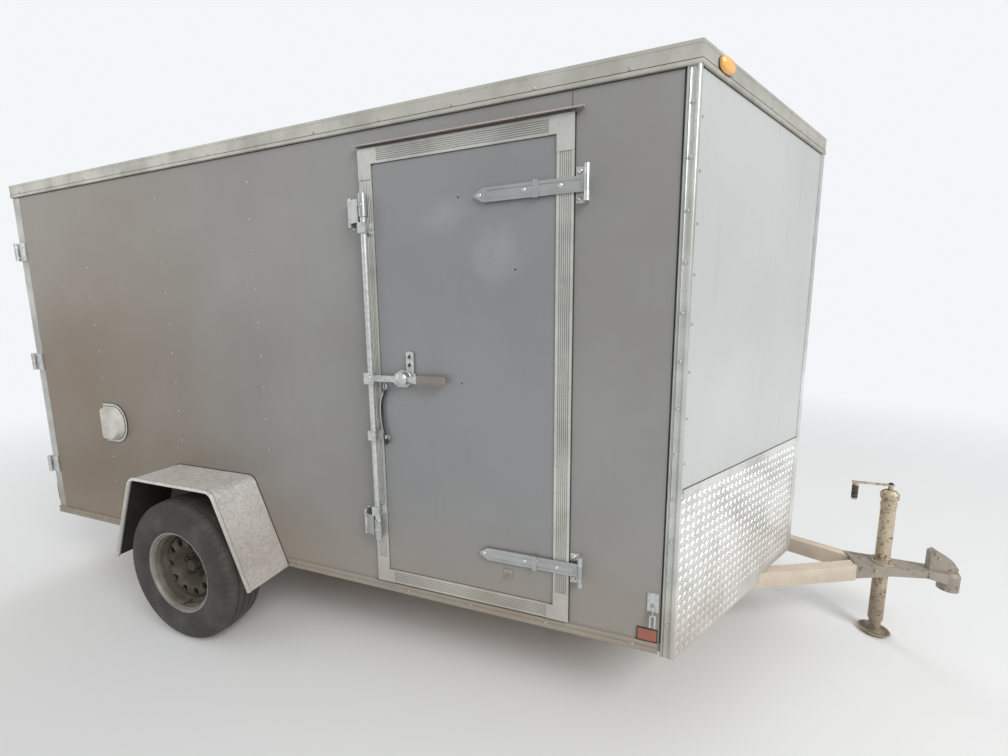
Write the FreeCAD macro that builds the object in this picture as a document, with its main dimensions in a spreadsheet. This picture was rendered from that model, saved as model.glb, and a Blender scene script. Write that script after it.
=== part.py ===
import FreeCAD, Part
import math
import os

import Sketcher

# Enclosed single-axle cargo trailer with a V-shaped nose, in millimetres.
# +X points forwards to the hitch, +Y to the road side (left), +Z up.
# The origin is on the ground, under the middle of the whole trailer.
# Heights named "..._height" or "..._level" are measured from the lower edge of the body,
# and "..._setback" is measured back from the line through the two front corners.

doc = FreeCAD.newDocument("CargoTrailer")
sheet = doc.addObject("Spreadsheet::Sheet", "Sizes")
vec = FreeCAD.Vector


class Size:
    """A number that carries its formula, so that features can be bound to the sheet."""

    def __init__(self, text, number):
        self.text = text
        self.number = float(number)

    def _join(self, sign, other, number, swap=False):
        left, right = self.text, text_of(other)
        if swap:
            left, right = right, left
        return Size(f"({left} {sign} {right})", number)

    def __add__(self, other):
        return self._join("+", other, self.number + number_of(other))

    def __radd__(self, other):
        return self._join("+", other, self.number + number_of(other), True)

    def __sub__(self, other):
        return self._join("-", other, self.number - number_of(other))

    def __rsub__(self, other):
        return self._join("-", other, number_of(other) - self.number, True)

    def __mul__(self, other):
        return self._join("*", other, self.number * number_of(other))

    def __rmul__(self, other):
        return self._join("*", other, self.number * number_of(other), True)

    def __truediv__(self, other):
        return self._join("/", other, self.number / number_of(other))

    def __neg__(self):
        return Size(f"(-1 * {self.text})", -self.number)

    def __float__(self):
        return self.number


def text_of(value):
    return value.text if isinstance(value, Size) else f"{value:.9g}"


def number_of(value):
    return value.number if isinstance(value, Size) else float(value)


def tangent(angle):
    return Size(f"tan({text_of(angle)} * 1 deg)", math.tan(math.radians(number_of(angle))))


def cosine(angle):
    return Size(f"cos({text_of(angle)} * 1 deg)", math.cos(math.radians(number_of(angle))))


def root(value):
    return Size(f"sqrt({text_of(value)})", math.sqrt(number_of(value)))


cells = []


def size(alias, number):
    """Keep a driving size in the sheet and give it back as a Size."""
    row = len(cells) + 1
    cells.append(alias)
    sheet.set(f"A{row}", alias)
    sheet.set(f"B{row}", str(number))
    sheet.setAlias(f"B{row}", alias)
    return Size(f"Sizes.{alias}", number)


# Body
box_length = size("box_length", 3658)
box_width = size("box_width", 1880)
nose_depth = size("nose_depth", 610)
nose_flat = size("nose_flat", 60)
side_height = size("side_height", 1994)
ground_gap = size("ground_gap", 372)
wall = size("wall", 40)
roof_sheet = size("roof_sheet", 2)
deck_thickness = size("deck_thickness", 19)
frame_tube = size("frame_tube", 51)
frame_inset = size("frame_inset", 13)
crossmember_width = size("crossmember_width", 38)
crossmember_pitch = size("crossmember_pitch", 610)
skin_lap = size("skin_lap", 6)

# Trims and guards
rail_trim_height = size("rail_trim_height", 38)
rail_trim_proud = size("rail_trim_proud", 9)
roof_trim_height = size("roof_trim_height", 67)
roof_trim_proud = size("roof_trim_proud", 8)
corner_trim_width = size("corner_trim_width", 46)
corner_trim_proud = size("corner_trim_proud", 8)
corner_trim_drop = size("corner_trim_drop", 10)
guard_height = size("guard_height", 601)
guard_proud = size("guard_proud", 4)
guard_drop = size("guard_drop", 20)
guard_notch_level = size("guard_notch_level", 36)
roof_lip_width = size("roof_lip_width", 25)
rail_rib_depth = size("rail_rib_depth", 4)
corner_leg = size("corner_leg", 20)
nose_trim_leg = size("nose_trim_leg", 24)
nose_trim_proud = size("nose_trim_proud", 6)
notch_gap = size("notch_gap", 30)
guard_strip_proud = size("guard_strip_proud", 2)
guard_strip_height = size("guard_strip_height", 34)
guard_strip_rise = size("guard_strip_rise", 12)

# Side door
door_setback = size("door_setback", 366)
door_width = size("door_width", 848)
door_height = size("door_height", 1804)
door_sill = size("door_sill", 49)
door_overlap = size("door_overlap", 24)
door_gap = size("door_gap", 8)
door_face_gap = size("door_face_gap", 5)
frame_flange = size("frame_flange", 59)
frame_flange_thick = size("frame_flange_thick", 9)
frame_grooves = size("frame_grooves", 6)
frame_groove_depth = size("frame_groove_depth", 1.6)
frame_margin = size("frame_margin", 8)
door_skin_thick = size("door_skin_thick", 4)
corner_block_long = size("corner_block_long", 115)
corner_block_wide = size("corner_block_wide", 86)
corner_block_proud = size("corner_block_proud", 2)
pin_setback = size("pin_setback", 323)
pin_standoff = size("pin_standoff", 24)
pin_radius = size("pin_radius", 6)
knuckle_radius = size("knuckle_radius", 10)
knuckle_length = size("knuckle_length", 115)
leaf_thick = size("leaf_thick", 5)
leaf_clearance = size("leaf_clearance", 5)
leaf_riser = size("leaf_riser", 6)
strap_length = size("strap_length", 407)
strap_width = size("strap_width", 50)
strap_thick = size("strap_thick", 6)
strap_head = size("strap_head", 42)
spine_width = size("spine_width", 30)
spine_height = size("spine_height", 6)
spine_end = size("spine_end", 60)
spine_start = size("spine_start", 22)
clip_reach = size("clip_reach", 172)
clip_width = size("clip_width", 18)
clip_overhang = size("clip_overhang", 4)
strap_high = size("strap_high", 1628)
strap_low = size("strap_low", 270)
bar_setback = size("bar_setback", 1184)
bar_radius = size("bar_radius", 12.5)
bar_standoff = size("bar_standoff", 24)
bar_bottom = size("bar_bottom", 258)
bar_top = size("bar_top", 1682)
bar_guide_width = size("bar_guide_width", 56)
bar_guide_height = size("bar_guide_height", 40)
bar_guide_wall = size("bar_guide_wall", 6)
bar_guide_inset = size("bar_guide_inset", 130)
bar_guide_middle = size("bar_guide_middle", 720)
cam_inset = size("cam_inset", 66)
cam_reach = size("cam_reach", 66)
cam_height = size("cam_height", 52)
cam_thick = size("cam_thick", 8)
keeper_height = size("keeper_height", 116)
keeper_width = size("keeper_width", 44)
keeper_gap = size("keeper_gap", 6)
keeper_base = size("keeper_base", 5)
keeper_reach = size("keeper_reach", 45)
keeper_lip = size("keeper_lip", 6)
keeper_lip_inset = size("keeper_lip_inset", 14)
handle_level = size("handle_level", 960)
handle_reach = size("handle_reach", 337)
handle_bracket = size("handle_bracket", 46)
handle_bracket_wall = size("handle_bracket_wall", 6)
handle_thick = size("handle_thick", 8)
handle_hub_reach = size("handle_hub_reach", 143)
handle_hub_radius = size("handle_hub_radius", 27)
handle_boss_radius = size("handle_boss_radius", 14)
grip_start = size("grip_start", 198)
grip_height = size("grip_height", 32)
grip_neck = size("grip_neck", 18)
hasp_offset = size("hasp_offset", 30)
hasp_width = size("hasp_width", 34)
hasp_rise = size("hasp_rise", 110)
hasp_foot = size("hasp_foot", 42)
hasp_foot_width = size("hasp_foot_width", 78)
hasp_thick = size("hasp_thick", 5)
hasp_hole_radius = size("hasp_hole_radius", 8)
drip_lip = size("drip_lip", 5)
drip_clearance = size("drip_clearance", 5)
drip_proud = size("drip_proud", 30)
drip_past_back = size("drip_past_back", 13)
drip_past_front = size("drip_past_front", 29)
drip_rise = size("drip_rise", 14)
drip_sheet = size("drip_sheet", 2)
hold_plate_width = size("hold_plate_width", 38)
hold_plate_height = size("hold_plate_height", 72)
hold_plate_level = size("hold_plate_level", 157)
hold_plate_thick = size("hold_plate_thick", 4)
hook_length = size("hook_length", 74)
hook_prong = size("hook_prong", 5)
hook_spread = size("hook_spread", 16)
hook_standoff = size("hook_standoff", 16)
catch_setback = size("catch_setback", 605)
catch_level = size("catch_level", 173)
catch_width = size("catch_width", 34)
catch_height = size("catch_height", 44)
catch_proud = size("catch_proud", 11)

# Wheels and axle
axle_setback = size("axle_setback", 2240)
tyre_radius = size("tyre_radius", 356)
tyre_width = size("tyre_width", 205)
wheel_offset = size("wheel_offset", 118)
rim_radius = size("rim_radius", 208)
rim_width = size("rim_width", 176)
rim_seat_drop = size("rim_seat_drop", 18)
rim_well_drop = size("rim_well_drop", 44)
rim_sheet = size("rim_sheet", 4)
disc_sheet = size("disc_sheet", 5)
disc_proud = size("disc_proud", 40)
disc_bore = size("disc_bore", 36)
disc_hole_radius = size("disc_hole_radius", 13.5)
disc_hole_ring = size("disc_hole_ring", 130)
hub_radius = size("hub_radius", 72)
hub_cap_radius = size("hub_cap_radius", 30)
hub_cap_proud = size("hub_cap_proud", 30)
hub_inner = size("hub_inner", 44)
hub_barrel_radius = size("hub_barrel_radius", 40)
hub_flange_thick = size("hub_flange_thick", 12)
hub_cap_sheet = size("hub_cap_sheet", 4)
spindle_radius = size("spindle_radius", 20)
axle_tube_radius = size("axle_tube_radius", 30)
axle_drop = size("axle_drop", 102)
spring_width = size("spring_width", 45)
spring_leaf = size("spring_leaf", 7)
spring_span = size("spring_span", 640)
spring_rise = size("spring_rise", 40)
spring_eye_radius = size("spring_eye_radius", 14)
axle_rise_run = size("axle_rise_run", 30)
spindle_end_out = size("spindle_end_out", 24)
seat_rise = size("seat_rise", 6)
seat_reach = size("seat_reach", 24)
clamp_thick = size("clamp_thick", 8)
clamp_bolt_radius = size("clamp_bolt_radius", 6)
clamp_foot = size("clamp_foot", 8)
hanger_sheet = size("hanger_sheet", 3)
hanger_width = size("hanger_width", 44)
hanger_foot = size("hanger_foot", 32)
fender_lead = size("fender_lead", 21)
fender_width = size("fender_width", 222)
fender_height = size("fender_height", 442)
fender_flat = size("fender_flat", 562)
fender_base = size("fender_base", 930)
fender_drop = size("fender_drop", 3)
fender_sheet = size("fender_sheet", 3)
fender_bend = size("fender_bend", 56)
fender_lip = size("fender_lip", 7)

# Tongue
tongue_reach = size("tongue_reach", 1308)
tongue_angle = size("tongue_angle", 25)
apex_reach = size("apex_reach", 1047)
beam_height = size("beam_height", 76)
beam_width = size("beam_width", 51)
beam_sheet = size("beam_sheet", 4)
beam_front = size("beam_front", 885)
beam_back = size("beam_back", 560)
ball_radius = size("ball_radius", 26)
socket_sheet = size("socket_sheet", 6)
socket_depth = size("socket_depth", 24)
socket_level = size("socket_level", -84)
jack_reach = size("jack_reach", 1014)
jack_radius = size("jack_radius", 28.5)
jack_inner_radius = size("jack_inner_radius", 23)
jack_top_level = size("jack_top_level", 330)
jack_tube_bottom = size("jack_tube_bottom", -300)
jack_foot_radius = size("jack_foot_radius", 62)
jack_foot_thick = size("jack_foot_thick", 6)
jack_foot_rise = size("jack_foot_rise", 19)
jack_flange_thick = size("jack_flange_thick", 8)
jack_flange_radius = size("jack_flange_radius", 48)
jack_cap_height = size("jack_cap_height", 40)
jack_cap_overhang = size("jack_cap_overhang", 6)
crank_hub_radius = size("crank_hub_radius", 9)
crank_hub_height = size("crank_hub_height", 22)
crank_reach = size("crank_reach", 138)
crank_width = size("crank_width", 16)
crank_thick = size("crank_thick", 8)
grip_radius = size("grip_radius", 12)
grip_length = size("grip_length", 80)
nose_wall = size("nose_wall", 6)
coupler_sheet = size("coupler_sheet", 5)
coupler_back_half = size("coupler_back_half", 60)
coupler_neck_half = size("coupler_neck_half", 36)
coupler_neck_depth = size("coupler_neck_depth", 46)
coupler_waist_depth = size("coupler_waist_depth", 28)
coupler_waist_back = size("coupler_waist_back", 80)
coupler_slope = size("coupler_slope", 150)
socket_crown = size("socket_crown", 6)
latch_width = size("latch_width", 34)
latch_height = size("latch_height", 106)
latch_back = size("latch_back", 84)
latch_front = size("latch_front", 22)
latch_round = size("latch_round", 7)

# Rear
rear_reach = size("rear_reach", 50)
portal_depth = size("portal_depth", 60)
portal_post = size("portal_post", 62)
portal_header = size("portal_header", 120)
rear_door_gap = size("rear_door_gap", 7)
rear_door_thick = size("rear_door_thick", 44)
rear_meeting_gap = size("rear_meeting_gap", 10)
rear_hinge_standoff = size("rear_hinge_standoff", 12)
rear_hinge_outboard = size("rear_hinge_outboard", 12)
rear_knuckle_length = size("rear_knuckle_length", 100)
rear_strap_width = size("rear_strap_width", 44)
rear_strap_thick = size("rear_strap_thick", 5)
rear_strap_off = size("rear_strap_off", 5)
rear_strap_reach = size("rear_strap_reach", 120)
rear_leaf_length = size("rear_leaf_length", 60)
rear_leaf_thick = size("rear_leaf_thick", 6)
rear_edging = size("rear_edging", 46)
rear_recess = size("rear_recess", 4)
rear_bar_out = size("rear_bar_out", 70)
rear_bar_standoff = size("rear_bar_standoff", 30)
rear_bar_past_sill = size("rear_bar_past_sill", 18)
rear_bar_past_header = size("rear_bar_past_header", 30)
rear_guide_inset = size("rear_guide_inset", 160)
rear_guide_middle = size("rear_guide_middle", 1150)
rear_guide_width = size("rear_guide_width", 44)
rear_guide_height = size("rear_guide_height", 36)
rear_handle_level = size("rear_handle_level", 900)
rear_handle_reach = size("rear_handle_reach", 300)
rear_handle_height = size("rear_handle_height", 30)
rear_handle_thick = size("rear_handle_thick", 10)
rear_collar_radius = size("rear_collar_radius", 20)
rear_keeper_width = size("rear_keeper_width", 70)
rear_keeper_height = size("rear_keeper_height", 26)
rear_keeper_reach = size("rear_keeper_reach", 44)
rear_keeper_sheet = size("rear_keeper_sheet", 5)

# Lamps, reflectors and vents
vent_setback = size("vent_setback", 2872)
vent_width = size("vent_width", 196)
vent_height = size("vent_height", 224)
vent_level = size("vent_level", 520)
vent_proud = size("vent_proud", 34)
vent_flange = size("vent_flange", 3)
vent_rim = size("vent_rim", 16)
vent_slope = size("vent_slope", 12)
lamp_along = size("lamp_along", 128)
lamp_length = size("lamp_length", 104)
lamp_height = size("lamp_height", 52)
lamp_proud = size("lamp_proud", 22)
tail_lamp_length = size("tail_lamp_length", 150)
tail_lamp_height = size("tail_lamp_height", 58)
tail_lamp_proud = size("tail_lamp_proud", 20)
tail_lamp_level = size("tail_lamp_level", 135)
tail_lamp_inset = size("tail_lamp_inset", 31)
reflector_setback = size("reflector_setback", 118)
reflector_length = size("reflector_length", 70)
reflector_height = size("reflector_height", 50)
reflector_proud = size("reflector_proud", 3)

running_gap = size("running_gap", 0.3)

# Places worked out from the sizes
half = box_width / 2
corner_x = (box_length + rear_reach - tongue_reach) / 2
rear_x = corner_x - box_length
floor_z = ground_gap + frame_tube + deck_thickness
roof_z = ground_gap + side_height
axle_x = corner_x - axle_setback
axle_z = tyre_radius
wheel_y = half + wheel_offset
doc.recompute()


def bind(feature, prop, value):
    """Set a property to a number, or bind it to the sheet where the value has a formula."""
    if isinstance(value, Size):
        feature.setExpression(prop, value.text)
    else:
        setattr(feature, prop, value)


def place(feature, x=0, y=0, z=0):
    """Put a feature at x, y, z with its placement bound to the sheet."""
    for axis, value in zip("xyz", (x, y, z)):
        feature.setExpression(f"Placement.Base.{axis}", text_of(value))


def block(name, x, y, z):
    """A box between two values along each axis."""
    solid = doc.addObject("Part::Box", name)
    for prop, span in (("Length", x), ("Width", y), ("Height", z)):
        bind(solid, prop, span[1] - span[0])
    place(solid, x[0], y[0], z[0])
    return solid


def rod(name, radius, length, x, y, z, axis="Z"):
    """A cylinder that starts at x, y, z and runs along an axis."""
    solid = doc.addObject("Part::Cylinder", name)
    bind(solid, "Radius", radius)
    bind(solid, "Height", length)
    turn = {"Z": (vec(0, 0, 1), 0), "X": (vec(0, 1, 0), 90), "Y": (vec(1, 0, 0), -90)}[axis]
    solid.Placement = FreeCAD.Placement(vec(), FreeCAD.Rotation(*turn))
    place(solid, x, y, z)
    return solid


def prism(name, plane, outline, length, x=0, y=0, z=0, backwards=False, cutouts=()):
    """A padded sketch. The outline's points are bound to the sheet one by one.

    On the XY plane it grows up, on XZ towards -Y and on YZ forwards, or backwards if asked.
    """
    body = doc.addObject("PartDesign::Body", name)
    sketch = draw(body, f"{name}_outline", plane, [outline, *cutouts])
    pad = body.newObject("PartDesign::Pad", f"{name}_pad")
    pad.Profile = sketch
    bind(pad, "Length", length)
    pad.Reversed = backwards
    place(body, x, y, z)
    return body


def draw(body, name, plane, loops):
    """A sketch of closed loops of straight lines on one of a body's own planes."""
    sketch = body.newObject("Sketcher::SketchObject", name)
    support = [item for item in body.Origin.OriginFeatures if item.Role == f"{plane}_Plane"][0]
    sketch.AttachmentSupport = [(support, "")]
    sketch.MapMode = "FlatFace"
    for loop in loops:
        first = sketch.GeometryCount
        corners = [vec(number_of(u), number_of(v), 0) for u, v in loop]
        for index, start in enumerate(corners):
            end = corners[(index + 1) % len(corners)]
            sketch.addGeometry(Part.LineSegment(start, end))
        for index, (u, v) in enumerate(loop):
            follower = first + (index + 1) % len(loop)
            sketch.addConstraint(Sketcher.Constraint("Coincident", first + index, 2, follower, 1))
            for kind, value in (("DistanceX", u), ("DistanceY", v)):
                number = number_of(value)
                dimension = Sketcher.Constraint(kind, -1, 1, first + index, 1, number)
                slot = sketch.addConstraint(dimension)
                if isinstance(value, Size):
                    sketch.setExpression(f"Constraints[{slot}]", value.text)
    return sketch


def turned(name, outline, axis="Z", x=0, y=0, z=0):
    """A revolved sketch: points are (radius, height), and the height runs along the axis."""
    body = doc.addObject("PartDesign::Body", name)
    plane = {"Z": "XZ", "Y": "XY"}[axis]
    sketch = draw(body, f"{name}_outline", plane, [outline])
    spin = body.newObject("PartDesign::Revolution", f"{name}_spin")
    spin.Profile = sketch
    line = [item for item in body.Origin.OriginFeatures if item.Role == f"{axis}_Axis"][0]
    spin.ReferenceAxis = (line, [""])
    spin.Angle = 360
    place(body, x, y, z)
    return body


def fused(name, parts):
    whole = doc.addObject("Part::MultiFuse", name)
    whole.Shapes = parts
    whole.Refine = True
    return whole


def cut(name, base, tool):
    rest = doc.addObject("Part::Cut", name)
    rest.Base = base
    rest.Tool = tool
    return rest


def together(name, parts):
    """Like pieces that don't touch, kept as one sub-part."""
    group = doc.addObject("Part::Compound", name)
    group.Links = parts
    return group


def shaped(name, shape):
    """A shape made in code from the sheet's sizes."""
    feature = doc.addObject("Part::Feature", name)
    feature.Shape = shape
    return feature


subparts = []


def keep(label, feature):
    """Name a finished sub-part; its label is the name of its file."""
    feature.Label = label
    subparts.append(feature)
    return feature


def rounded(corners, closed=True):
    """A wire through (x, y, z, radius) corners, straight between them and round at them."""
    count = len(corners)
    points = [vec(*corner[:3]) for corner in corners]
    edges = []
    cursor = None
    first = None
    for index in range(count):
        here = points[index]
        radius = corners[index][3]
        ends = (index in (0, count - 1)) and not closed
        if ends or radius == 0:
            start = finish = here
        else:
            back = (points[index - 1] - here).normalize()
            ahead = (points[(index + 1) % count] - here).normalize()
            half_turn = back.getAngle(ahead) / 2
            reach = radius / math.tan(half_turn)
            start = here + back * reach
            finish = here + ahead * reach
            middle = (back + ahead).normalize()
            centre = here + middle * (radius / math.sin(half_turn))
            top = centre - middle * radius
        if cursor is not None and cursor.distanceToPoint(start) > 1e-6:
            edges.append(Part.makeLine(cursor, start))
        if first is None:
            first = start
        if start.distanceToPoint(finish) > 1e-6:
            edges.append(Part.Arc(start, top, finish).toShape())
        cursor = finish
    if closed and cursor.distanceToPoint(first) > 1e-6:
        edges.append(Part.makeLine(cursor, first))
    return Part.Wire(edges)


def plate(corners, thickness):
    """A flat plate with the given outline, grown by the thickness vector."""
    return Part.Face(rounded(corners)).extrude(thickness)


# Plan of the body: straight sides and a V-shaped nose with a narrow flat
nose_run = half - nose_flat / 2
nose_length = root(nose_depth * nose_depth + nose_run * nose_run)
side_mitre = (nose_length - nose_depth) / nose_run
flat_mitre = (nose_length - nose_run) / nose_depth


def bar(radius, length, start, head=None, sides=12):
    """A pin, bolt or knuckle as a bar with flat sides, its corners on the given radius."""
    head = head or vec(0, 0, 1)
    across = vec(1, 0, 0) if abs(head.x) < 0.5 else vec(0, 1, 0)
    other = head.cross(across)
    corners = []
    for index in range(sides):
        angle = 2 * math.pi * (index + 0.5) / sides
        corners.append(start + across * (radius * math.cos(angle)) + other * (radius * math.sin(angle)))
    return Part.Face(Part.makePolygon([*corners, corners[0]])).extrude(head * length)


def corner(offset):
    """Plan point where side and nose meet, on faces moved out by the offset."""
    return (corner_x + offset * side_mitre, half + offset)


def flat(offset):
    """Plan point where the nose meets its narrow flat."""
    return (corner_x + nose_depth + offset, nose_flat / 2 + offset * flat_mitre)


def on_nose(along, offset):
    """Plan point at a distance along the nose from the front corner, and out from its face."""
    x = corner_x + (along * nose_depth + offset * nose_run) / nose_length
    y = half - (along * nose_run - offset * nose_depth) / nose_length
    return (x, y)


def mirrored(points):
    """The same plan points on the curb side, in an order that runs the same way round."""
    return [(x, -y) for x, y in reversed(points)]


def sided(points, side):
    return points if side > 0 else mirrored(points)


def band(outer, inner):
    """Plan of a whole band round the sides and nose, open at the rear."""
    road = [(rear_x, half + outer), corner(outer), flat(outer)]
    road_inner = [(rear_x, half + inner), corner(inner), flat(inner)]
    curb = [(x, -y) for x, y in road]
    curb_inner = [(x, -y) for x, y in road_inner]
    return [*road, *reversed(curb), *curb_inner, *reversed(road_inner)]


def plan(offset, back):
    """Plan of the whole body, moved out by the offset."""
    road = [(back, half + offset), corner(offset), flat(offset)]
    return [*road, *mirrored(road)]


SIDES = (("curb", -1), ("road", 1))

# Frame under the floor
frame_top = ground_gap + frame_tube
rail_outer = half - frame_inset
rail_inner = rail_outer - frame_tube
frame_back = rear_x + portal_depth


def side_rail(name, side):
    low, high = (rail_inner, rail_outer) if side > 0 else (-rail_outer, -rail_inner)
    return block(f"side_rail_{name}", (frame_back, corner_x - frame_tube), (low, high),
                 (ground_gap, frame_top))


keep("side_rails", together("rails", [side_rail(*side) for side in SIDES]))


def crossmembers():
    """Cross tubes between the side rails, from just inside the rear frame to the front."""
    clear = box_length - portal_depth - frame_tube - crossmember_width
    count = max(2, round(number_of(clear) / number_of(crossmember_pitch)))
    members = []
    for index in range(count + 1):
        start = frame_back + clear * (index / count)
        members.append(block(f"crossmember_{index}", (start, start + crossmember_width),
                             (-rail_inner, rail_inner), (ground_gap, frame_top)))
    return members


keep("crossmembers", together("cross_tubes", crossmembers()))


def nose_rail():
    """The V-shaped front rail of the frame."""
    outer, inner = -frame_inset, -(frame_inset + frame_tube)
    road = [(corner_x - frame_tube, half + outer), corner(outer), flat(outer)]
    road_inner = [(corner_x - frame_tube, half + inner), corner(inner), flat(inner)]
    outline = [*road, *mirrored(road), *[(x, -y) for x, y in road_inner], *reversed(road_inner)]
    return prism("nose_rail_body", "XY", outline, frame_tube, z=ground_gap)


keep("nose_rail", nose_rail())
keep("floor_deck", prism("deck_body", "XY", plan(-wall, frame_back), deck_thickness, z=frame_top))

# Walls: each is as thick as its studs and both skins; the skin laps down over the frame
roof_top = roof_z - roof_sheet
wall_top = roof_top - wall
skin_bottom = ground_gap + skin_lap
door_front = corner_x - door_setback
door_back = door_front - door_width
door_bottom = ground_gap + door_sill
door_top = door_bottom + door_height
jamb_front = door_front - door_overlap
jamb_back = door_back + door_overlap
jamb_bottom = door_bottom + door_overlap
jamb_top = door_top - door_overlap


def wall_piece(name, points_at, bottom=None, top=None):
    """A wall with its lapping skin; points_at(offset) gives the ends at a depth in the wall."""
    bottom = frame_top if bottom is None else bottom
    top = wall_top if top is None else top
    outer, inner, skin = points_at(0), points_at(-wall), points_at(-frame_inset)
    core = prism(f"{name}_core", "XY", [*outer, *reversed(inner)], top - bottom, z=bottom)
    if bottom is not frame_top:
        return core
    lap = prism(f"{name}_lap", "XY", [*outer, *reversed(skin)], frame_top - skin_bottom,
                z=skin_bottom)
    return fused(f"{name}_whole", [core, lap])


def side_points(back, front, side):
    """Ends of a side wall piece; a front of None is the mitred front corner."""
    def ends(offset):
        start = (back, side * (half + offset))
        finish = corner(offset) if front is None else (front, half + offset)
        return [start, (finish[0], side * finish[1])]
    return ends


def nose_points(side):
    def ends(offset):
        return [(x, side * y) for x, y in (corner(offset), flat(offset))]
    return ends


keep("road_wall", wall_piece("road_wall_body", side_points(frame_back, None, 1)))
keep("curb_wall_rear", wall_piece("curb_rear", side_points(frame_back, jamb_back, -1)))
keep("curb_wall_front", wall_piece("curb_front", side_points(jamb_front, None, -1)))
keep("curb_wall_header",
     wall_piece("curb_header", side_points(jamb_back, jamb_front, -1), bottom=jamb_top))
keep("door_threshold",
     wall_piece("threshold", side_points(jamb_back, jamb_front, -1), top=jamb_bottom))
for name, side in SIDES:
    keep(f"nose_wall_{name}", wall_piece(f"nose_{name}", nose_points(side)))


def nose_post():
    """The post behind the nose's narrow flat, between the two nose walls."""
    outline = [flat(0), flat(-wall)]
    outline = [*outline, *mirrored(outline)]
    return prism("nose_post_body", "XY", outline, wall_top - frame_top, z=frame_top)


keep("nose_post", nose_post())
keep("roof_panel", prism("roof_body", "XY", plan(0, frame_back), wall, z=wall_top))

# Trims
roof_trim_bottom = roof_z - roof_trim_height


def roof_trim():
    """Aluminium angle round the roof's edge: a tall flange outside and a short one on top."""
    flange = prism("roof_flange", "XY", band(roof_trim_proud, 0), roof_trim_height,
                   z=roof_trim_bottom)
    lip = prism("roof_lip", "XY", band(roof_trim_proud, -roof_lip_width), roof_sheet, z=roof_top)
    return fused("roof_trim_whole", [flange, lip])


keep("roof_trim", roof_trim())

fender_x = axle_x + fender_lead
fender_low = ground_gap - fender_drop


def rail_trims():
    """The two-ribbed extrusion along each lower edge, broken by the fender."""
    rib = rail_trim_proud
    web = rail_trim_proud - rail_rib_depth
    shoulder = rib * 0.8
    steps = [(0, 0), (shoulder, 0), (rib, 0.1), (rib, 0.32), (web, 0.4), (web, 0.6), (rib, 0.68),
             (rib, 0.9), (shoulder, 1), (0, 1)]
    stretches = [(rear_x, fender_x - fender_base / 2 - fender_lip),
                 (fender_x + fender_base / 2 + fender_lip, corner_x - corner_trim_width)]
    pieces = []
    for name, side in SIDES:
        section = [(side * (half + out), rail_trim_height * up) for out, up in steps]
        section = section if side > 0 else list(reversed(section))
        for part, (start, finish) in zip(("rear", "front"), stretches):
            pieces.append(prism(f"rail_trim_{name}_{part}", "YZ", section, finish - start,
                                x=start, z=ground_gap))
    return pieces


keep("rail_trims", together("rail_trim_set", rail_trims()))


def corner_trims():
    """Cove trim on each front corner: two ridges with a hollow between, and a leg on the nose."""
    ridge, hollow = corner_trim_proud, corner_trim_proud / 2
    side_run = [(1, 0), (1, 0.8), (0.92, 1), (0.78, 1), (0.66, 0.5), (0.34, 0.5), (0.2, 1)]
    pieces = []
    for name, side in SIDES:
        road = [(corner_x - corner_trim_width * back, half + ridge * out) for back, out in side_run]
        road = [*road, corner(ridge), on_nose(corner_leg, hollow), on_nose(corner_leg, 0), corner(0)]
        pieces.append(prism(f"corner_trim_{name}", "XY", sided(road, side),
                            roof_trim_bottom - ground_gap + corner_trim_drop,
                            z=ground_gap - corner_trim_drop))
    return pieces


keep("corner_trims", together("corner_trim_set", corner_trims()))


def nose_trim():
    """The bright vertical trim that wraps the nose's narrow flat."""
    start = nose_length - nose_trim_leg
    outer = [on_nose(start, 0), on_nose(start, nose_trim_proud / 2), flat(nose_trim_proud)]
    inner = [flat(0)]
    outline = [*outer, *mirrored(outer), *[(x, -y) for x, y in inner], *inner]
    return prism("nose_trim_body", "XY", outline, roof_trim_bottom - ground_gap - guard_notch_level,
                 z=ground_gap + guard_notch_level)


keep("nose_trim", nose_trim())

beam_slope = tangent(tongue_angle)
apex_x = corner_x + apex_reach
nose_slope = nose_run / nose_depth
beam_crossing = (half - apex_reach * beam_slope) / (nose_slope - beam_slope)


def stone_guard(name, side):
    """Tread plate on the lower nose; outside the tongue beam it hangs below the body."""
    start, finish = corner_leg + running_gap, nose_length - nose_trim_leg - running_gap
    notch = (beam_crossing - notch_gap) * nose_length / nose_depth
    upper = [on_nose(start, 0), on_nose(finish, 0), on_nose(finish, guard_proud),
             on_nose(start, guard_proud)]
    lower = [on_nose(start, 0), on_nose(notch, 0), on_nose(notch, guard_proud),
             on_nose(start, guard_proud)]
    main = prism(f"guard_main_{name}", "XY", sided(upper, side), guard_height - guard_notch_level,
                 z=ground_gap + guard_notch_level)
    skirt = prism(f"guard_skirt_{name}", "XY", sided(lower, side), guard_notch_level + guard_drop,
                  z=ground_gap - guard_drop)
    face = guard_proud + guard_strip_proud
    edging = [on_nose(start, 0), on_nose(finish, 0), on_nose(finish, face), on_nose(start, face)]
    strip = prism(f"guard_strip_{name}", "XY", sided(edging, side), guard_strip_height,
                  z=ground_gap + guard_height + guard_strip_rise - guard_strip_height)
    return fused(f"guard_{name}", [main, skirt, strip])


for name, side in SIDES:
    keep(f"stone_guard_{name}", stone_guard(name, side))

# Tongue: two beams in an A, the coupler where they meet, and the jack between them
beam_top = ground_gap


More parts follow.
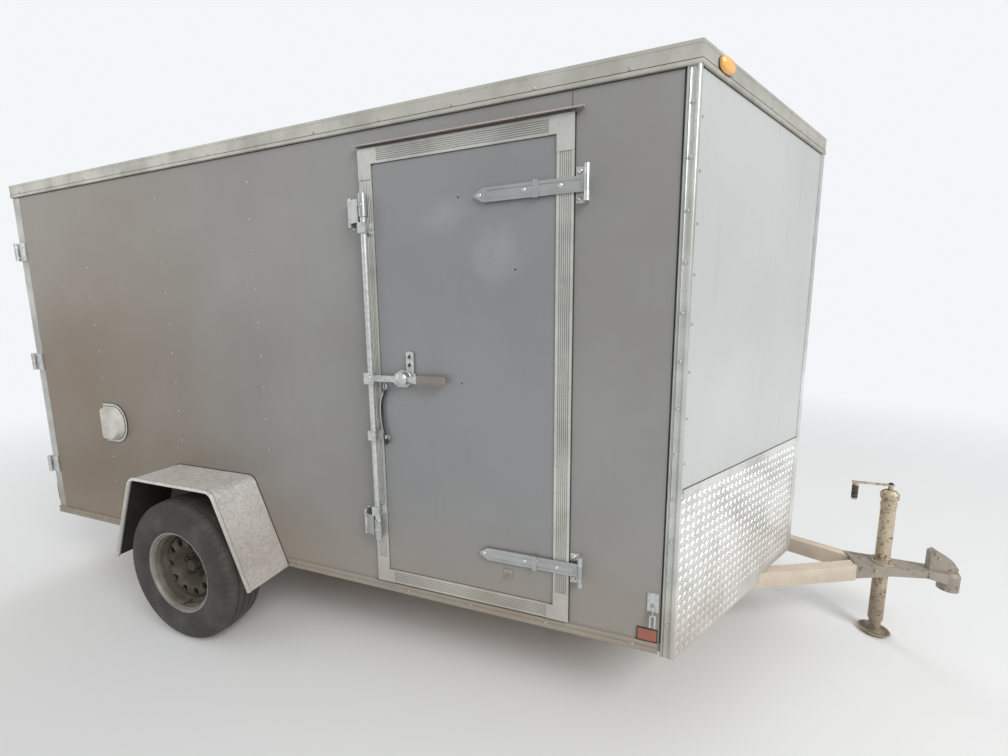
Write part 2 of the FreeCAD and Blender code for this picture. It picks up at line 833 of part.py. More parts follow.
def tongue_beam(name, side):
    """A square-cut tube that runs from under the frame to the coupler."""
    front, back = corner_x + beam_front, corner_x - beam_back
    depth = beam_width / cosine(tongue_angle)

    def loop(inset):
        outer = (apex_x - front) * beam_slope - inset
        rear = (apex_x - back) * beam_slope - inset
        inner_front, inner_rear = outer - depth + 2 * inset, rear - depth + 2 * inset
        return [(back, rear), (front, outer), (front, inner_front), (back, inner_rear)]

    tube = prism(f"beam_tube_{name}", "XY", sided(loop(0), side), beam_height,
                 z=beam_top - beam_height)
    bore = prism(f"beam_bore_{name}", "XY", sided(loop(beam_sheet), side),
                 beam_height - 2 * beam_sheet, z=beam_top - beam_height + beam_sheet)
    return cut(f"beam_{name}", tube, bore)


for name, side in SIDES:
    keep(f"tongue_beam_{name}", tongue_beam(name, side))

nose_radius = ball_radius + socket_sheet + nose_wall
ball_x = corner_x + tongue_reach - nose_radius
socket_z = ground_gap + socket_level


def coupler():
    """Pressed coupler: a tapering plate with side flanges, and the ball socket at its nose."""
    back, neck = corner_x + beam_front, ball_x - nose_radius / 2
    top = [(back, -coupler_back_half), (neck, -coupler_neck_half), (neck, coupler_neck_half),
           (back, coupler_back_half)]
    upper = prism("coupler_plate", "XY", top, coupler_sheet, z=beam_top)
    hole = rod("coupler_jack_hole", jack_radius + running_gap, coupler_sheet, corner_x + jack_reach,
               0, beam_top)
    upper = cut("coupler_top", upper, hole)
    profile = [(back, 0), (neck, 0), (neck, -coupler_neck_depth),
               (neck - coupler_waist_back, -coupler_waist_depth),
               (back + coupler_slope, -coupler_waist_depth - 2 * socket_sheet), (back, -beam_height)]
    taper = (coupler_back_half - coupler_neck_half) / (neck - back)
    flanges = []
    for _, side in SIDES:
        corners = []
        for x, z in profile:
            y = coupler_back_half - taper * (x - back)
            corners.append((float(x), side * float(y), float(beam_top) + number_of(z), 0))
        flanges.append(plate(corners, vec(0, -side * float(coupler_sheet), 0)))
    sides = shaped("coupler_flanges", flanges[0].fuse(flanges[1]))
    crown = beam_top - socket_z + socket_crown
    round_off = socket_crown + 2
    dome = [(ball_radius * math.sin(turn), socket_depth + ball_radius * math.cos(turn))
            for turn in (math.radians(degrees) for degrees in (30, 60, 90))]
    outline = [(ball_radius, 0), (nose_radius, 0), (nose_radius, crown - 2 * round_off),
               (nose_radius - round_off, crown), (0, crown), (0, socket_depth + ball_radius), *dome]
    socket = turned("coupler_socket", outline, "Z", x=ball_x, z=socket_z)
    return fused("coupler_whole", [upper, sides, socket])


keep("coupler", coupler())


def latch():
    """The hooded lever that locks the coupler, sloping down over its nose."""
    foot = float(coupler_sheet + running_gap)
    hood_foot = float(socket_crown + running_gap)
    x, top = float(ball_x), float(latch_height)
    back, front = float(latch_back), float(latch_front)
    crown_back = -float(nose_radius)
    soft = float(latch_round)
    corners = [(-back, foot, 0), (-back, 0.88 * top, soft), (-0.8 * back, top, soft),
               (-0.05 * back, 0.62 * top, 2 * soft), (front, 0.26 * top, soft), (front, hood_foot, 0),
               (crown_back, hood_foot, 0), (crown_back, foot, 0)]
    base = [(x + along, -float(latch_width) / 2, float(beam_top) + up, radius)
            for along, up, radius in corners]
    return shaped("latch_body", plate(base, vec(0, float(latch_width), 0)))


keep("coupler_latch", latch())

jack_x = corner_x + jack_reach
plate_top = beam_top + coupler_sheet


def jack_tube():
    """Outer tube of the jack with its mounting flange and gear cap."""
    length = jack_top_level - jack_tube_bottom
    tube = rod("jack_outer", jack_radius, length, jack_x, 0, ground_gap + jack_tube_bottom)
    bore = rod("jack_bore", jack_inner_radius + running_gap, -jack_tube_bottom, jack_x, 0,
               ground_gap + jack_tube_bottom)
    flange = rod("jack_flange", jack_flange_radius, jack_flange_thick, jack_x, 0, plate_top)
    wide = jack_radius + jack_cap_overhang
    outline = [(0, 0), (wide, 0), (wide, jack_cap_height * 0.65),
               (wide - jack_cap_overhang * 2, jack_cap_height), (0, jack_cap_height)]
    cap = turned("jack_cap", outline, "Z", jack_x, 0, ground_gap + jack_top_level)
    return fused("jack_tube_whole", [cut("jack_hollow", tube, bore), flange, cap])


keep("jack_tube", jack_tube())


def jack_leg():
    """Inner leg of the jack with its dished foot on the ground."""
    rim, sheet, rise = jack_foot_radius, jack_foot_thick, jack_foot_rise
    foot = turned("jack_foot", [(0, 0), (rim - rise + sheet, 0), (rim, rise - sheet / 2),
                                (rim - sheet, rise), (rim - rise, sheet), (0, sheet)], "Z",
                  jack_x, 0, 0)
    leg = rod("jack_inner", jack_inner_radius, ground_gap - sheet - running_gap, jack_x, 0, sheet)
    return fused("jack_leg_whole", [foot, leg])


keep("jack_leg", jack_leg())


def crank():
    """Crank on top of the jack, with its grip hanging down."""
    top = ground_gap + jack_top_level + jack_cap_height
    arm_z = top + crank_hub_height
    half_arm = crank_width / 2
    hub = rod("crank_hub", crank_hub_radius, crank_hub_height, jack_x, 0, top)
    arm = block("crank_arm", (jack_x - crank_reach - grip_radius, jack_x + grip_radius),
                (-half_arm, half_arm), (arm_z, arm_z + crank_thick))
    grip = rod("crank_grip", grip_radius, grip_length, jack_x - crank_reach, 0, arm_z - grip_length)
    return fused("crank_whole", [hub, arm, grip])


keep("jack_crank", crank())

# Axle, springs and wheels
rim_lip_run = rim_seat_drop * 0.7
spring_y = rail_outer - frame_tube / 2
beam_z = axle_z - axle_drop
spring_seat = beam_z + axle_tube_radius + seat_rise
spring_top = spring_seat + 3 * spring_leaf
spring_radius = (spring_span * spring_span / 4 + spring_rise * spring_rise) / (2 * spring_rise)


def bent_tube(points, radius):
    """A round tube through points that share one x, with a mitre at each bend."""
    heads = [(ahead - here).normalize() for here, ahead in zip(points, points[1:])]
    means = [heads[0], *[(one + other).normalize() for one, other in zip(heads, heads[1:])], heads[-1]]
    reach = 1.5 * radius
    across = [vec(0, -mean.z, mean.y) * reach for mean in means]
    aside = vec(reach, 0, 0)
    pieces = []
    for index, head in enumerate(heads):
        start, end = points[index], points[index + 1]
        corners = [start + across[index], end + across[index + 1], end - across[index + 1],
                   start - across[index]]
        wedge = Part.Face(Part.makePolygon([corner_at - aside for corner_at in [*corners, corners[0]]]))
        length = start.distanceToPoint(end) + 2 * reach
        rod_along = Part.makeCylinder(radius, length, start - head * reach, head)
        pieces.append(rod_along.common(wedge.extrude(2 * aside)))
    return pieces[0].multiFuse(pieces[1:])


def axle():
    """Drop axle: a tube that slants up at both ends to the spindles, with a seat per spring."""
    low, high, x = float(beam_z), float(axle_z), float(axle_x)
    radius = float(axle_tube_radius)
    bend_start = float(spring_y + spring_width / 2 + axle_tube_radius)
    bend_end = bend_start + float(axle_rise_run)
    half_turn = math.atan2(high - low, bend_end - bend_start) / 2
    stub_end = bend_end + 1.05 * radius * math.tan(half_turn)
    spindle_end = float(wheel_y + spindle_end_out)
    seat_top = float(spring_seat - running_gap)
    line = [vec(x, -stub_end, high), vec(x, -bend_end, high), vec(x, -bend_start, low),
            vec(x, bend_start, low), vec(x, bend_end, high), vec(x, stub_end, high)]
    tube = bent_tube(line, radius)
    pieces = []
    for side in (-1, 1):
        start = vec(x, side * bend_end, high)
        pieces.append(Part.makeCylinder(float(spindle_radius), spindle_end - bend_end, start,
                                        vec(0, side, 0)))
        seat_y = side * float(spring_y) - float(spring_width) / 2
        pieces.append(Part.makeBox(2 * float(seat_reach), float(spring_width), seat_top - low,
                                   vec(x - float(seat_reach), seat_y, low)))
    return shaped("axle_body", tube.multiFuse(pieces).removeSplitter())


keep("axle_beam", axle())


def leaf_springs():
    """Three stacked leaves a side, arched, with an eye at each end of the longest."""
    x, reach = float(axle_x), float(spring_span) / 2
    top, rise = float(spring_top), float(spring_rise)
    leaf, radius = float(spring_leaf), float(spring_radius)
    springs = []
    for _, side in SIDES:
        low_y = side * float(spring_y) - float(spring_width) / 2
        stack = []
        for index, share in enumerate((1.0, 0.72, 0.44)):
            half_angle = math.asin(reach * share / radius)
            centre = vec(x, low_y, top + radius)
            ends = []
            for size_out in (radius + index * leaf, radius + (index + 1) * leaf):
                ends.append([centre + vec(size_out * math.sin(angle), 0, -size_out * math.cos(angle))
                             for angle in (-half_angle, 0, half_angle)])
            wire = Part.Wire([Part.Arc(*ends[0]).toShape(), Part.makeLine(ends[0][2], ends[1][2]),
                              Part.Arc(*reversed(ends[1])).toShape(),
                              Part.makeLine(ends[1][0], ends[0][0])])
            stack.append(Part.Face(wire).extrude(vec(0, float(spring_width), 0)))
        for end in (-1, 1):
            eye = vec(x + end * reach, low_y, top + rise)
            stack.append(bar(float(spring_eye_radius), float(spring_width), eye, vec(0, 1, 0), 16))
        springs.append(stack[0].multiFuse(stack[1:]))
    return shaped("springs_body", Part.makeCompound(springs))


keep("leaf_springs", leaf_springs())


def clamp(middle):
    """The plate over a spring, and the two bolts a side that hold it down round the axle."""
    x, bolt = float(axle_x), float(clamp_bolt_radius)
    bend = float(axle_tube_radius + running_gap) + bolt
    low = float(spring_top + running_gap) + bend ** 2 / (2 * float(spring_radius))
    top = low + float(clamp_thick)
    foot = float(beam_z - axle_tube_radius - running_gap)
    across = float(spring_width) / 2 + float(running_gap) + bolt
    half_plate = across + 1.5 * bolt
    solid = Part.makeBox(2 * (bend + 1.5 * bolt), 2 * half_plate, top - low,
                         vec(x - bend - 1.5 * bolt, middle - half_plate, low))
    for side in (-1, 1):
        y = middle + side * across
        shoe = Part.makeBox(2 * (bend + bolt), 2 * bolt, float(clamp_foot),
                            vec(x - bend - bolt, y - bolt, foot - float(clamp_foot)))
        shafts = [bar(bolt, top + bolt - foot, vec(x + end * bend, y, foot)) for end in (-1, 1)]
        solid = solid.multiFuse([shoe, *shafts])
    return solid


def spring_mounts():
    """Hanger ears from the side rails to the spring eyes, and the clamps on the axle."""
    x, reach = float(axle_x), float(spring_span) / 2
    eye_z = float(spring_top + spring_rise)
    wide, foot = float(hanger_width) / 2, float(hanger_foot) / 2
    pieces = []
    for _, side in SIDES:
        middle = side * float(spring_y)
        pieces.append(clamp(middle))
        for end in (-1, 1):
            for cheek in (-1, 1):
                y = middle + cheek * float(spring_width / 2 + running_gap)
                eye_x = x + end * reach
                foot_z = eye_z - foot
                ear = [(eye_x - wide, y, float(ground_gap), 0), (eye_x + wide, y, float(ground_gap), 0),
                       (eye_x + foot, y, foot_z, 0), (eye_x - foot, y, foot_z, 0)]
                pieces.append(plate(ear, vec(0, cheek * float(hanger_sheet), 0)))
    return shaped("spring_mounts_body", Part.makeCompound(pieces))


keep("spring_mounts", spring_mounts())


def tyre(name, side):
    """Tyre section: bead, bulged sidewall and a round shoulder into the crown."""
    wide = tyre_width / 2
    wall_rise = tyre_radius - rim_radius
    shape = [(0.4, 1.0), (0.82, 0.88), (1, 0.48)]
    right = [(rim_radius - rim_seat_drop + running_gap, rim_width / 2 - rim_lip_run - running_gap)]
    right += [(rim_radius + wall_rise * rise, wide * across) for rise, across in shape]
    outline = [*right, *[(radius, -across) for radius, across in reversed(right)]]
    return turned(f"tyre_body_{name}", outline, "Y", axle_x, side * wheel_y, axle_z)


def rim(name, side):
    """Steel wheel: a lipped barrel with a dropped well, and a dished disc with ten round holes."""
    wide, sheet = rim_width / 2, rim_sheet
    seat, well = rim_radius - rim_seat_drop, rim_radius - rim_well_drop
    inner = wide - rim_lip_run
    right = [(rim_radius, wide), (seat, inner), (well, inner - rim_well_drop)]
    steps = [*right, *[(radius, -across) for radius, across in reversed(right)]]
    inside = [(radius - sheet, across) for radius, across in reversed(steps)]
    barrel = turned(f"rim_barrel_{name}", [*steps, *inside], "Y", axle_x, side * wheel_y, axle_z)
    ring_half = disc_hole_radius * 1.5
    ring_in, ring_out = disc_hole_ring - ring_half, disc_hole_ring + ring_half
    dish = [(disc_bore, 0), (hub_radius + disc_sheet, 0), (ring_in, disc_proud),
            (ring_out, disc_proud), (well - sheet, disc_proud / 2)]
    back = [(radius, across - disc_sheet) for radius, across in dish]
    outline = [(radius, side * across) for radius, across in [*dish, *reversed(back)]]
    disc = turned(f"rim_disc_{name}", outline, "Y", axle_x, side * wheel_y, axle_z)
    holes = []
    for index in range(10):
        angle = 2 * math.pi * index / 10
        ring = float(disc_hole_ring)
        centre = vec(float(axle_x) + ring * math.cos(angle), float(side * wheel_y),
                     float(axle_z) + ring * math.sin(angle))
        holes.append(bar(float(disc_hole_radius), 2 * float(disc_proud), centre, vec(0, side, 0)))
    drilled = cut(f"rim_drilled_{name}", disc, shaped(f"rim_holes_{name}", Part.makeCompound(holes)))
    return fused(f"rim_whole_{name}", [barrel, drilled])


def hub(name, side):
    """Idler hub on the spindle, with its flange against the wheel and a dust cap."""
    bore = spindle_radius + running_gap
    barrel, cap, face = hub_barrel_radius, hub_cap_radius, -disc_sheet - running_gap
    sheet, flange_back, cap_end = hub_cap_sheet, face - hub_flange_thick, hub_cap_proud - hub_cap_sheet
    outline = [(bore, -hub_inner), (barrel, -hub_inner), (barrel * 1.2, flange_back),
               (hub_radius, flange_back), (hub_radius, face), (cap + sheet, face), (cap, cap_end),
               (cap - 1.5 * sheet, hub_cap_proud), (0, hub_cap_proud), (0, cap_end), (bore, cap_end)]
    return turned(f"hub_body_{name}", [(radius, side * across) for radius, across in outline], "Y",
                  axle_x, side * wheel_y, axle_z)


for name, side in SIDES:
    keep(f"tyre_{name}", tyre(name, side))
    keep(f"rim_{name}", rim(name, side))
    keep(f"hub_{name}", hub(name, side))


def fender(name, side):
    """Flat-topped fender of bent sheet with a thick rolled outer edge."""
    x, low, top = float(fender_x), float(fender_low), float(ground_gap + fender_height)
    base, level = float(fender_base) / 2, float(fender_flat) / 2
    sheet_y = side * float(half + running_gap)
    lip = float(fender_lip)

    def skin(inset, out, width):
        """The bent outline, moved in by the inset, as a band of that thickness and width."""
        slope = math.hypot(base - level, top - low)
        lean = (slope - (base - level)) / (top - low)
        slant = slope / (top - low)
        edges = []
        for depth in (inset, inset + out):
            bend = float(fender_bend) - depth
            foot_x, bend_x = base - depth * slant, level - depth * lean
            edges.append([(x - foot_x, low, 0), (x - bend_x, top - depth, bend),
                          (x + bend_x, top - depth, bend), (x + foot_x, low, 0)])
        corners = [(px, width[0], pz, bend) for px, pz, bend in [*edges[0], *reversed(edges[1])]]
        return plate(corners, vec(0, width[1] - width[0], 0))

    edge_y = side * float(half + fender_width)
    panel = skin(0, float(fender_sheet), (sheet_y, edge_y - side * lip / 2))
    outer = skin(-lip / 2, 2 * lip, (edge_y - side * 1.5 * lip, edge_y - side * lip / 2))
    rolled = skin(0, lip, (edge_y - side * 2 * lip, edge_y))
    return shaped(f"fender_body_{name}", panel.multiFuse([outer, rolled]).removeSplitter())


for name, side in SIDES:
    keep(f"fender_{name}", fender(name, side))

# Side door on the curb wall, hinged at its front edge
face_y = -(half + door_face_gap)
flange_y = face_y - frame_flange_thick


def door_panel():
    """The door's body inside the opening and its skin up to the frame."""
    plug = block("door_plug", (jamb_back + door_gap, jamb_front - door_gap),
                 (face_y, -(half - wall)), (jamb_bottom + door_gap, jamb_top - door_gap))
    front_y = face_y - door_skin_thick
    skin = block("door_skin", (door_back + frame_flange, door_front - frame_flange),
                 (front_y, face_y), (door_bottom + frame_flange, door_top - frame_flange))
    catch_x, catch_z = corner_x - catch_setback, ground_gap + catch_level
    base = block("door_catch", (catch_x - catch_width / 2, catch_x + catch_width / 2),
                 (front_y - catch_proud / 4, front_y), (catch_z, catch_z + catch_height))
    staple = block("door_staple", (catch_x - catch_width / 4, catch_x + catch_width / 4),
                   (front_y - catch_proud, front_y),
                   (catch_z + catch_height / 4, catch_z + catch_height * 0.4))
    return fused("door_panel_whole", [plug, skin, base, staple])


keep("side_door_panel", door_panel())


def door_frame():
    """Ribbed aluminium frame round the door, with a plain block over each mitre."""
    depth, wide = frame_flange_thick, frame_flange
    pitch = (wide - 2 * frame_margin) / frame_grooves
    ribs = [(0, depth)]
    for index in range(int(float(frame_grooves))):
        for share, drop in ((0.2, 0), (0.35, 1), (0.65, 1), (0.8, 0)):
            ribs.append((frame_margin + pitch * (index + share), depth - frame_groove_depth * drop))
    ribs.append((wide, depth))

    def section(across):
        """The flange's own outline, run one way round for the stiles and the other for the rest."""
        return [(0, 0), (wide, 0), *reversed(ribs)] if across else [*ribs, (wide, 0), (0, 0)]

    stiles = []
    for name, start in (("back", door_back), ("front", door_front - wide)):
        outline = [(start + u, -v) for u, v in section(True)]
        stiles.append(prism(f"door_stile_{name}", "XY", outline, door_height, y=face_y,
                            z=door_bottom))
    for name, start in (("low", door_bottom), ("high", door_top - wide)):
        outline = [(-v, start + u) for u, v in section(False)]
        stiles.append(prism(f"door_cross_{name}", "YZ", outline, door_width - 2 * wide,
                            x=door_back + wide, y=face_y))
    block_y = (flange_y - corner_block_proud, face_y)
    for name, x, z in (("low_back", 1, 1), ("high_back", 1, -1), ("low_front", -1, 1),
                       ("high_front", -1, -1)):
        edge_x = door_back if x > 0 else door_front
        edge_z = door_bottom if z > 0 else door_top
        reach_x = sorted((edge_x, edge_x + x * corner_block_wide), key=number_of)
        reach_z = sorted((edge_z, edge_z + z * wide), key=number_of)
        stiles.append(block(f"door_block_cross_{name}", reach_x, block_y, reach_z))
        reach_x = sorted((edge_x, edge_x + x * wide), key=number_of)
        reach_z = sorted((edge_z, edge_z + z * corner_block_long), key=number_of)
        stiles.append(block(f"door_block_stile_{name}", reach_x, block_y, reach_z))
    return fused("door_frame_whole", stiles)


keep("side_door_frame", door_frame())

pin_x = corner_x - pin_setback
pin_y = -(half + pin_standoff)


def strap_hinges():
    """Hinge straps: a pointed plate, a raised spine in two lengths, a clip and the knuckle."""
    x, wide, y = float(pin_x), float(strap_width) / 2, float(flange_y)
    thick, tip, head = float(strap_thick), float(strap_length), float(strap_head)
    front = y - thick
    half_clip = float(clip_width) / 2
    clip_half = wide + float(clip_overhang)
    spine = float(spine_width) / 2
    shoulder = spine * 0.6
    straps = []
    for level in (strap_low, strap_high):
        mid = float(ground_gap + level)
        corners = [(x, mid + wide, 0), (x - tip + head, mid + wide, head / 4), (x - tip, mid, head / 5),
                   (x - tip + head, mid - wide, head / 4), (x, mid - wide, 0)]
        strap = plate([(px, y, pz, radius) for px, pz, radius in corners], vec(0, -thick, 0))
        parts = []
        for start, end in ((spine_start, clip_reach), (clip_reach, strap_length - spine_end)):
            start, end = x - float(start), x - float(end)
            crest = front - float(spine_height)
            ridge = plate([(start, front, mid - spine, 0), (start, crest, mid - shoulder, 0),
                           (start, crest, mid + shoulder, 0), (start, front, mid + spine, 0)],
                          vec(end - start, 0, 0))
            parts.append(ridge)
        clip_depth = thick + float(spine_height) * 1.3
        parts.append(Part.makeBox(2 * half_clip, clip_depth, 2 * clip_half,
                                  vec(x - float(clip_reach) - half_clip, y - clip_depth,
                                      mid - clip_half)))
        foot = vec(x, float(pin_y), mid - wide)
        parts.append(bar(float(knuckle_radius), 2 * wide, foot))
        bore = Part.makeCylinder(float(pin_radius) + float(running_gap), 2 * wide, foot)
        straps.append(strap.multiFuse(parts).cut(bore))
    return shaped("straps_body", Part.makeCompound(straps))


keep("strap_hinges", strap_hinges())


def hinge_leaves():
    """Fixed leaves between the door frame and the pin, with the pin and the outer knuckles."""
    x, y, back = float(pin_x), float(pin_y), -float(half)
    tall = float(knuckle_length) / 2
    wide = float(strap_width / 2 + running_gap)
    thick, riser = float(leaf_thick), float(leaf_riser)
    start = float(door_front + leaf_clearance)
    leaves = []
    for level in (strap_low, strap_high):
        mid = float(ground_gap + level)
        leaf = Part.makeBox(x + riser - start, thick, 2 * tall, vec(start, back - thick, mid - tall))
        rise = tall - wide
        parts = [bar(float(pin_radius), 2 * tall, vec(x, y, mid - tall))]
        for low in (mid - tall, mid + wide):
            parts.append(bar(float(knuckle_radius), rise, vec(x, y, low)))
            parts.append(Part.makeBox(riser, back - y, rise, vec(x, y, low)))
        leaves.append(leaf.multiFuse(parts))
    return shaped("leaves_body", Part.makeCompound(leaves))


keep("hinge_leaves", hinge_leaves())

bar_x = corner_x - bar_setback
bar_y = flange_y - bar_standoff


def lock_bar():
    """Vertical lock tube on the door's rear stile, in guides, with a cam finger at each end."""
    x, y, radius = float(bar_x), float(bar_y), float(bar_radius)
    low, high = float(ground_gap + bar_bottom), float(ground_gap + bar_top)
    front, wide, tall = float(flange_y), float(bar_guide_width), float(bar_guide_height)
    cheek, inset = float(bar_guide_wall), float(bar_guide_inset)
    tube = Part.makeCylinder(radius, high - low, vec(x, y, low))
    outer = radius + cheek
    parts = []
    for middle in (low + inset, float(ground_gap + bar_guide_middle), high - inset):
        z = middle - tall / 2
        parts.append(Part.makeBox(wide, cheek / 2, tall, vec(x - wide / 2, front - cheek / 2, z)))
        for edge in (x - outer, x + radius):
            parts.append(Part.makeBox(cheek, front - y, tall, vec(edge, y, z)))
        parts.append(Part.makeBox(2 * outer, cheek, tall, vec(x - outer, y - radius - cheek / 2, z)))
    reach, thick, high_cam = float(cam_reach), float(cam_thick), float(cam_height)
    for middle in (low + float(cam_inset), high - float(cam_inset)):
        parts.append(Part.makeBox(reach, thick, high_cam,
                                  vec(x - reach, y - thick / 2, middle - high_cam / 2)))
    return shaped("lock_bar_body", tube.multiFuse(parts))


keep("lock_bar", lock_bar())


def lock_handle():
    """Handle of the lock bar: bracket, arm, domed hub, grip, and the hasp it is locked to."""
    x, y, z = float(bar_x), float(bar_y), float(ground_gap + handle_level)
    front, thick = float(flange_y - running_gap), float(handle_thick)
    outer, hold = float(bar_radius + handle_bracket_wall), float(handle_bracket)
    hub_x, grip_x, end_x = (x + float(reach) for reach in (handle_hub_reach, grip_start, handle_reach))
    grip, neck = float(grip_height) / 2, float(grip_neck) / 2
    bracket = Part.makeBox(hold, front - y + outer, hold, vec(x - hold / 2, y - outer, z - hold / 2))
    bore = Part.makeCylinder(float(bar_radius + running_gap), hold, vec(x, y, z - hold / 2))
    hub_radius_now, boss_now = float(handle_hub_radius), float(handle_boss_radius)
    start_x, soft = x + hold / 2 - thick, thick * 0.75
    lower = [(start_x, -neck * 1.4, 0), (hub_x, -neck * 1.4, 0), (grip_x - thick, -neck, 0),
             (grip_x + thick, -grip, soft), (end_x, -grip, grip * 0.7)]
    corners = [*lower, *[(px, -rise, radius) for px, rise, radius in reversed(lower)]]
    arm = plate([(px, y - thick / 2, z + rise, radius) for px, rise, radius in corners],
                vec(0, thick, 0))
    disc = Part.makeCone(hub_radius_now, hub_radius_now * 0.6, thick, vec(hub_x, y - thick / 2, z),
                         vec(0, -1, 0))
    plate_y = front - float(hasp_thick)
    boss = bar(boss_now, plate_y - y, vec(hub_x, y, z), vec(0, 1, 0), 16)
    foot, wide = float(hasp_foot), float(hasp_foot_width)
    strap_x = hub_x + float(hasp_offset)
    half_strap, rise = float(hasp_width) / 2, float(hasp_rise)
    base = Part.makeBox(wide, float(hasp_thick), foot, vec(strap_x - wide * 0.68, plate_y, z - foot / 2))
    strap = plate([(strap_x - half_strap, plate_y, z, 0), (strap_x + half_strap, plate_y, z, 0),
                   (strap_x + half_strap, plate_y, z + rise, half_strap * 0.6),
                   (strap_x - half_strap, plate_y, z + rise, half_strap * 0.6)],
                  vec(0, float(hasp_thick), 0))
    holes = [bar(float(hasp_hole_radius), float(hasp_thick),
                 vec(strap_x, plate_y, z + rise * share), vec(0, 1, 0), 16) for share in (0.5, 0.8)]
    whole = bracket.multiFuse([arm, disc, boss, base, strap])
    return shaped("handle_body", whole.cut([bore, *holes]))


keep("lock_handle", lock_handle())


def keepers():
    """Wall keepers beside the door: a base plate and two lips that the cam finger sits between."""
    tall, wide, back = float(keeper_height), float(keeper_width), -float(half)
    base_y, lip_y = back - float(keeper_base), back - float(keeper_reach)
    lip = float(keeper_lip)
    x = float(door_back - keeper_gap) - wide
    pieces = []
    for middle in (ground_gap + bar_bottom + cam_inset, ground_gap + bar_top - cam_inset):
        z = float(middle)
        base = Part.makeBox(wide, back - base_y, tall, vec(x, base_y, z - tall / 2))
        lips = []
        for side in (-1, 1):
            edge = z + side * (tall / 2 - float(keeper_lip_inset))
            lips.append(Part.makeBox(wide, base_y - lip_y, lip, vec(x, lip_y, edge - lip / 2)))
        pieces.append(base.multiFuse(lips))
    return shaped("keepers_body", Part.makeCompound(pieces))


keep("lock_keepers", keepers())


def drip_cap():
    """Bent rain strip on the wall above the door."""
    start, end = float(door_back - drip_past_back), float(door_front + drip_past_front)
    back, low, sheet_now = -float(half), float(door_top + drip_clearance), float(drip_sheet)
    bend, top, edge = low + float(drip_lip), low + float(drip_lip + drip_rise), back - float(drip_proud)
    rise = 2.5 * sheet_now
    section = [(back, top), (back - sheet_now, top), (back - sheet_now, bend + rise), (edge, bend),
               (edge, low), (edge + sheet_now, low), (edge + sheet_now, bend - sheet_now),
               (back, bend + rise - sheet_now)]
    return shaped("drip_cap_body", plate([(start, y, z, 0) for y, z in section],
                                         vec(end - start, 0, 0)))


keep("drip_cap", drip_cap())


def hold_back():
    """Small plate near the front corner with the forked hook that holds the opened door."""
    wide, tall, thick = (float(value) for value in
                         (hold_plate_width, hold_plate_height, hold_plate_thick))
    x = float(corner_x - corner_trim_width) - wide - thick / 2
    z, back = float(ground_gap + hold_plate_level), -float(half)
    prong, spread, reach = float(hook_prong), float(hook_spread) / 2, float(hook_standoff)
    middle, top = x + wide / 2, z + tall / 4
    base = Part.makeBox(wide, thick, tall, vec(x, back - thick, z))
    eye = bar(1.4 * prong, reach, vec(middle, back - reach, top), vec(0, 1, 0))
    length = float(hook_length)
    fork_z = top - length / 3
    stem = Part.makeBox(prong, prong, top - fork_z, vec(middle - prong / 2, back - reach, fork_z))
    yoke = Part.makeBox(2 * spread + prong, prong, prong,
                        vec(middle - spread - prong / 2, back - reach, fork_z - prong))
    fork = [Part.makeBox(prong, prong, length - (top - fork_z),
                         vec(middle + out - prong / 2, back - reach, top - length))
            for out in (-spread, spread)]
    return shaped("hold_back_body", base.multiFuse([eye, stem, yoke, *fork]))


keep("hold_back_hook", hold_back())


def vents():
    """Side vents: a flanged hood, flat behind and round in front, with sloping sides."""
    back = float(corner_x - vent_setback - vent_width)
    front, low = back + float(vent_width), float(ground_gap + vent_level)
    top, round_front = low + float(vent_height), float(vent_height) * 0.46
    hoods = []
    for _, side in SIDES:
        wall_y = side * float(half + running_gap)
        flange_end = wall_y + side * float(vent_flange)
        face_end = wall_y + side * float(vent_proud)

        def outline(inset, y):
            """The vent's outline, moved in by the inset, at one distance from the wall."""
            turn, small = round_front - inset, 6 + inset / 4
            return rounded([(back + inset, y, low + inset, small), (front - inset, y, low + inset, turn),
                            (front - inset, y, top - inset, turn), (back + inset, y, top - inset, small)])

        flange = Part.Face(outline(0, wall_y)).extrude(vec(0, flange_end - wall_y, 0))
        rim_inset = float(vent_rim)
        hood = Part.makeLoft([outline(rim_inset, flange_end),
                              outline(rim_inset + float(vent_slope), face_end)], True, True)
        hoods.append(flange.fuse(hood))
    return shaped("vents_body", Part.makeCompound(hoods))


keep("side_vents", vents())


def oval(length, height, depth):
    """A flat oval with sloping sides on a straight foot, centred on the origin and facing -Y."""
    def outline(inset, y):
        """The oval's outline, moved in by the inset."""
        radius = height / 2 - inset
        end, turn = length / 2 - inset, 0.98 * radius
        return rounded([(-end, y, -radius, turn), (end, y, -radius, turn), (end, y, radius, turn),
                        (-end, y, radius, turn)])

    foot = Part.Face(outline(0, 0)).extrude(vec(0, -depth / 2, 0))
    crown = Part.makeLoft([outline(0, -depth / 2), outline(depth / 3, -depth)], True, True)
    return foot.fuse(crown)


def marker_lamps():
    """Amber lamps on the nose's roof trim, one by each front corner."""
    lamps = []
    turn = math.degrees(math.atan2(float(nose_run), float(nose_depth)))
    for _, side in SIDES:
        x, y = (float(value) for value in on_nose(lamp_along, roof_trim_proud + running_gap))
        lamp = oval(float(lamp_length), float(lamp_height), float(lamp_proud))
        if side > 0:
            lamp.rotate(vec(), vec(0, 0, 1), 180)
        lamp.rotate(vec(), vec(0, 0, 1), -side * turn)
        lamp.translate(vec(x, side * y, float(roof_z - roof_trim_height / 2)))
        lamps.append(lamp)
    return shaped("marker_lamps_body", Part.makeCompound(lamps))


keep("marker_lamps", marker_lamps())


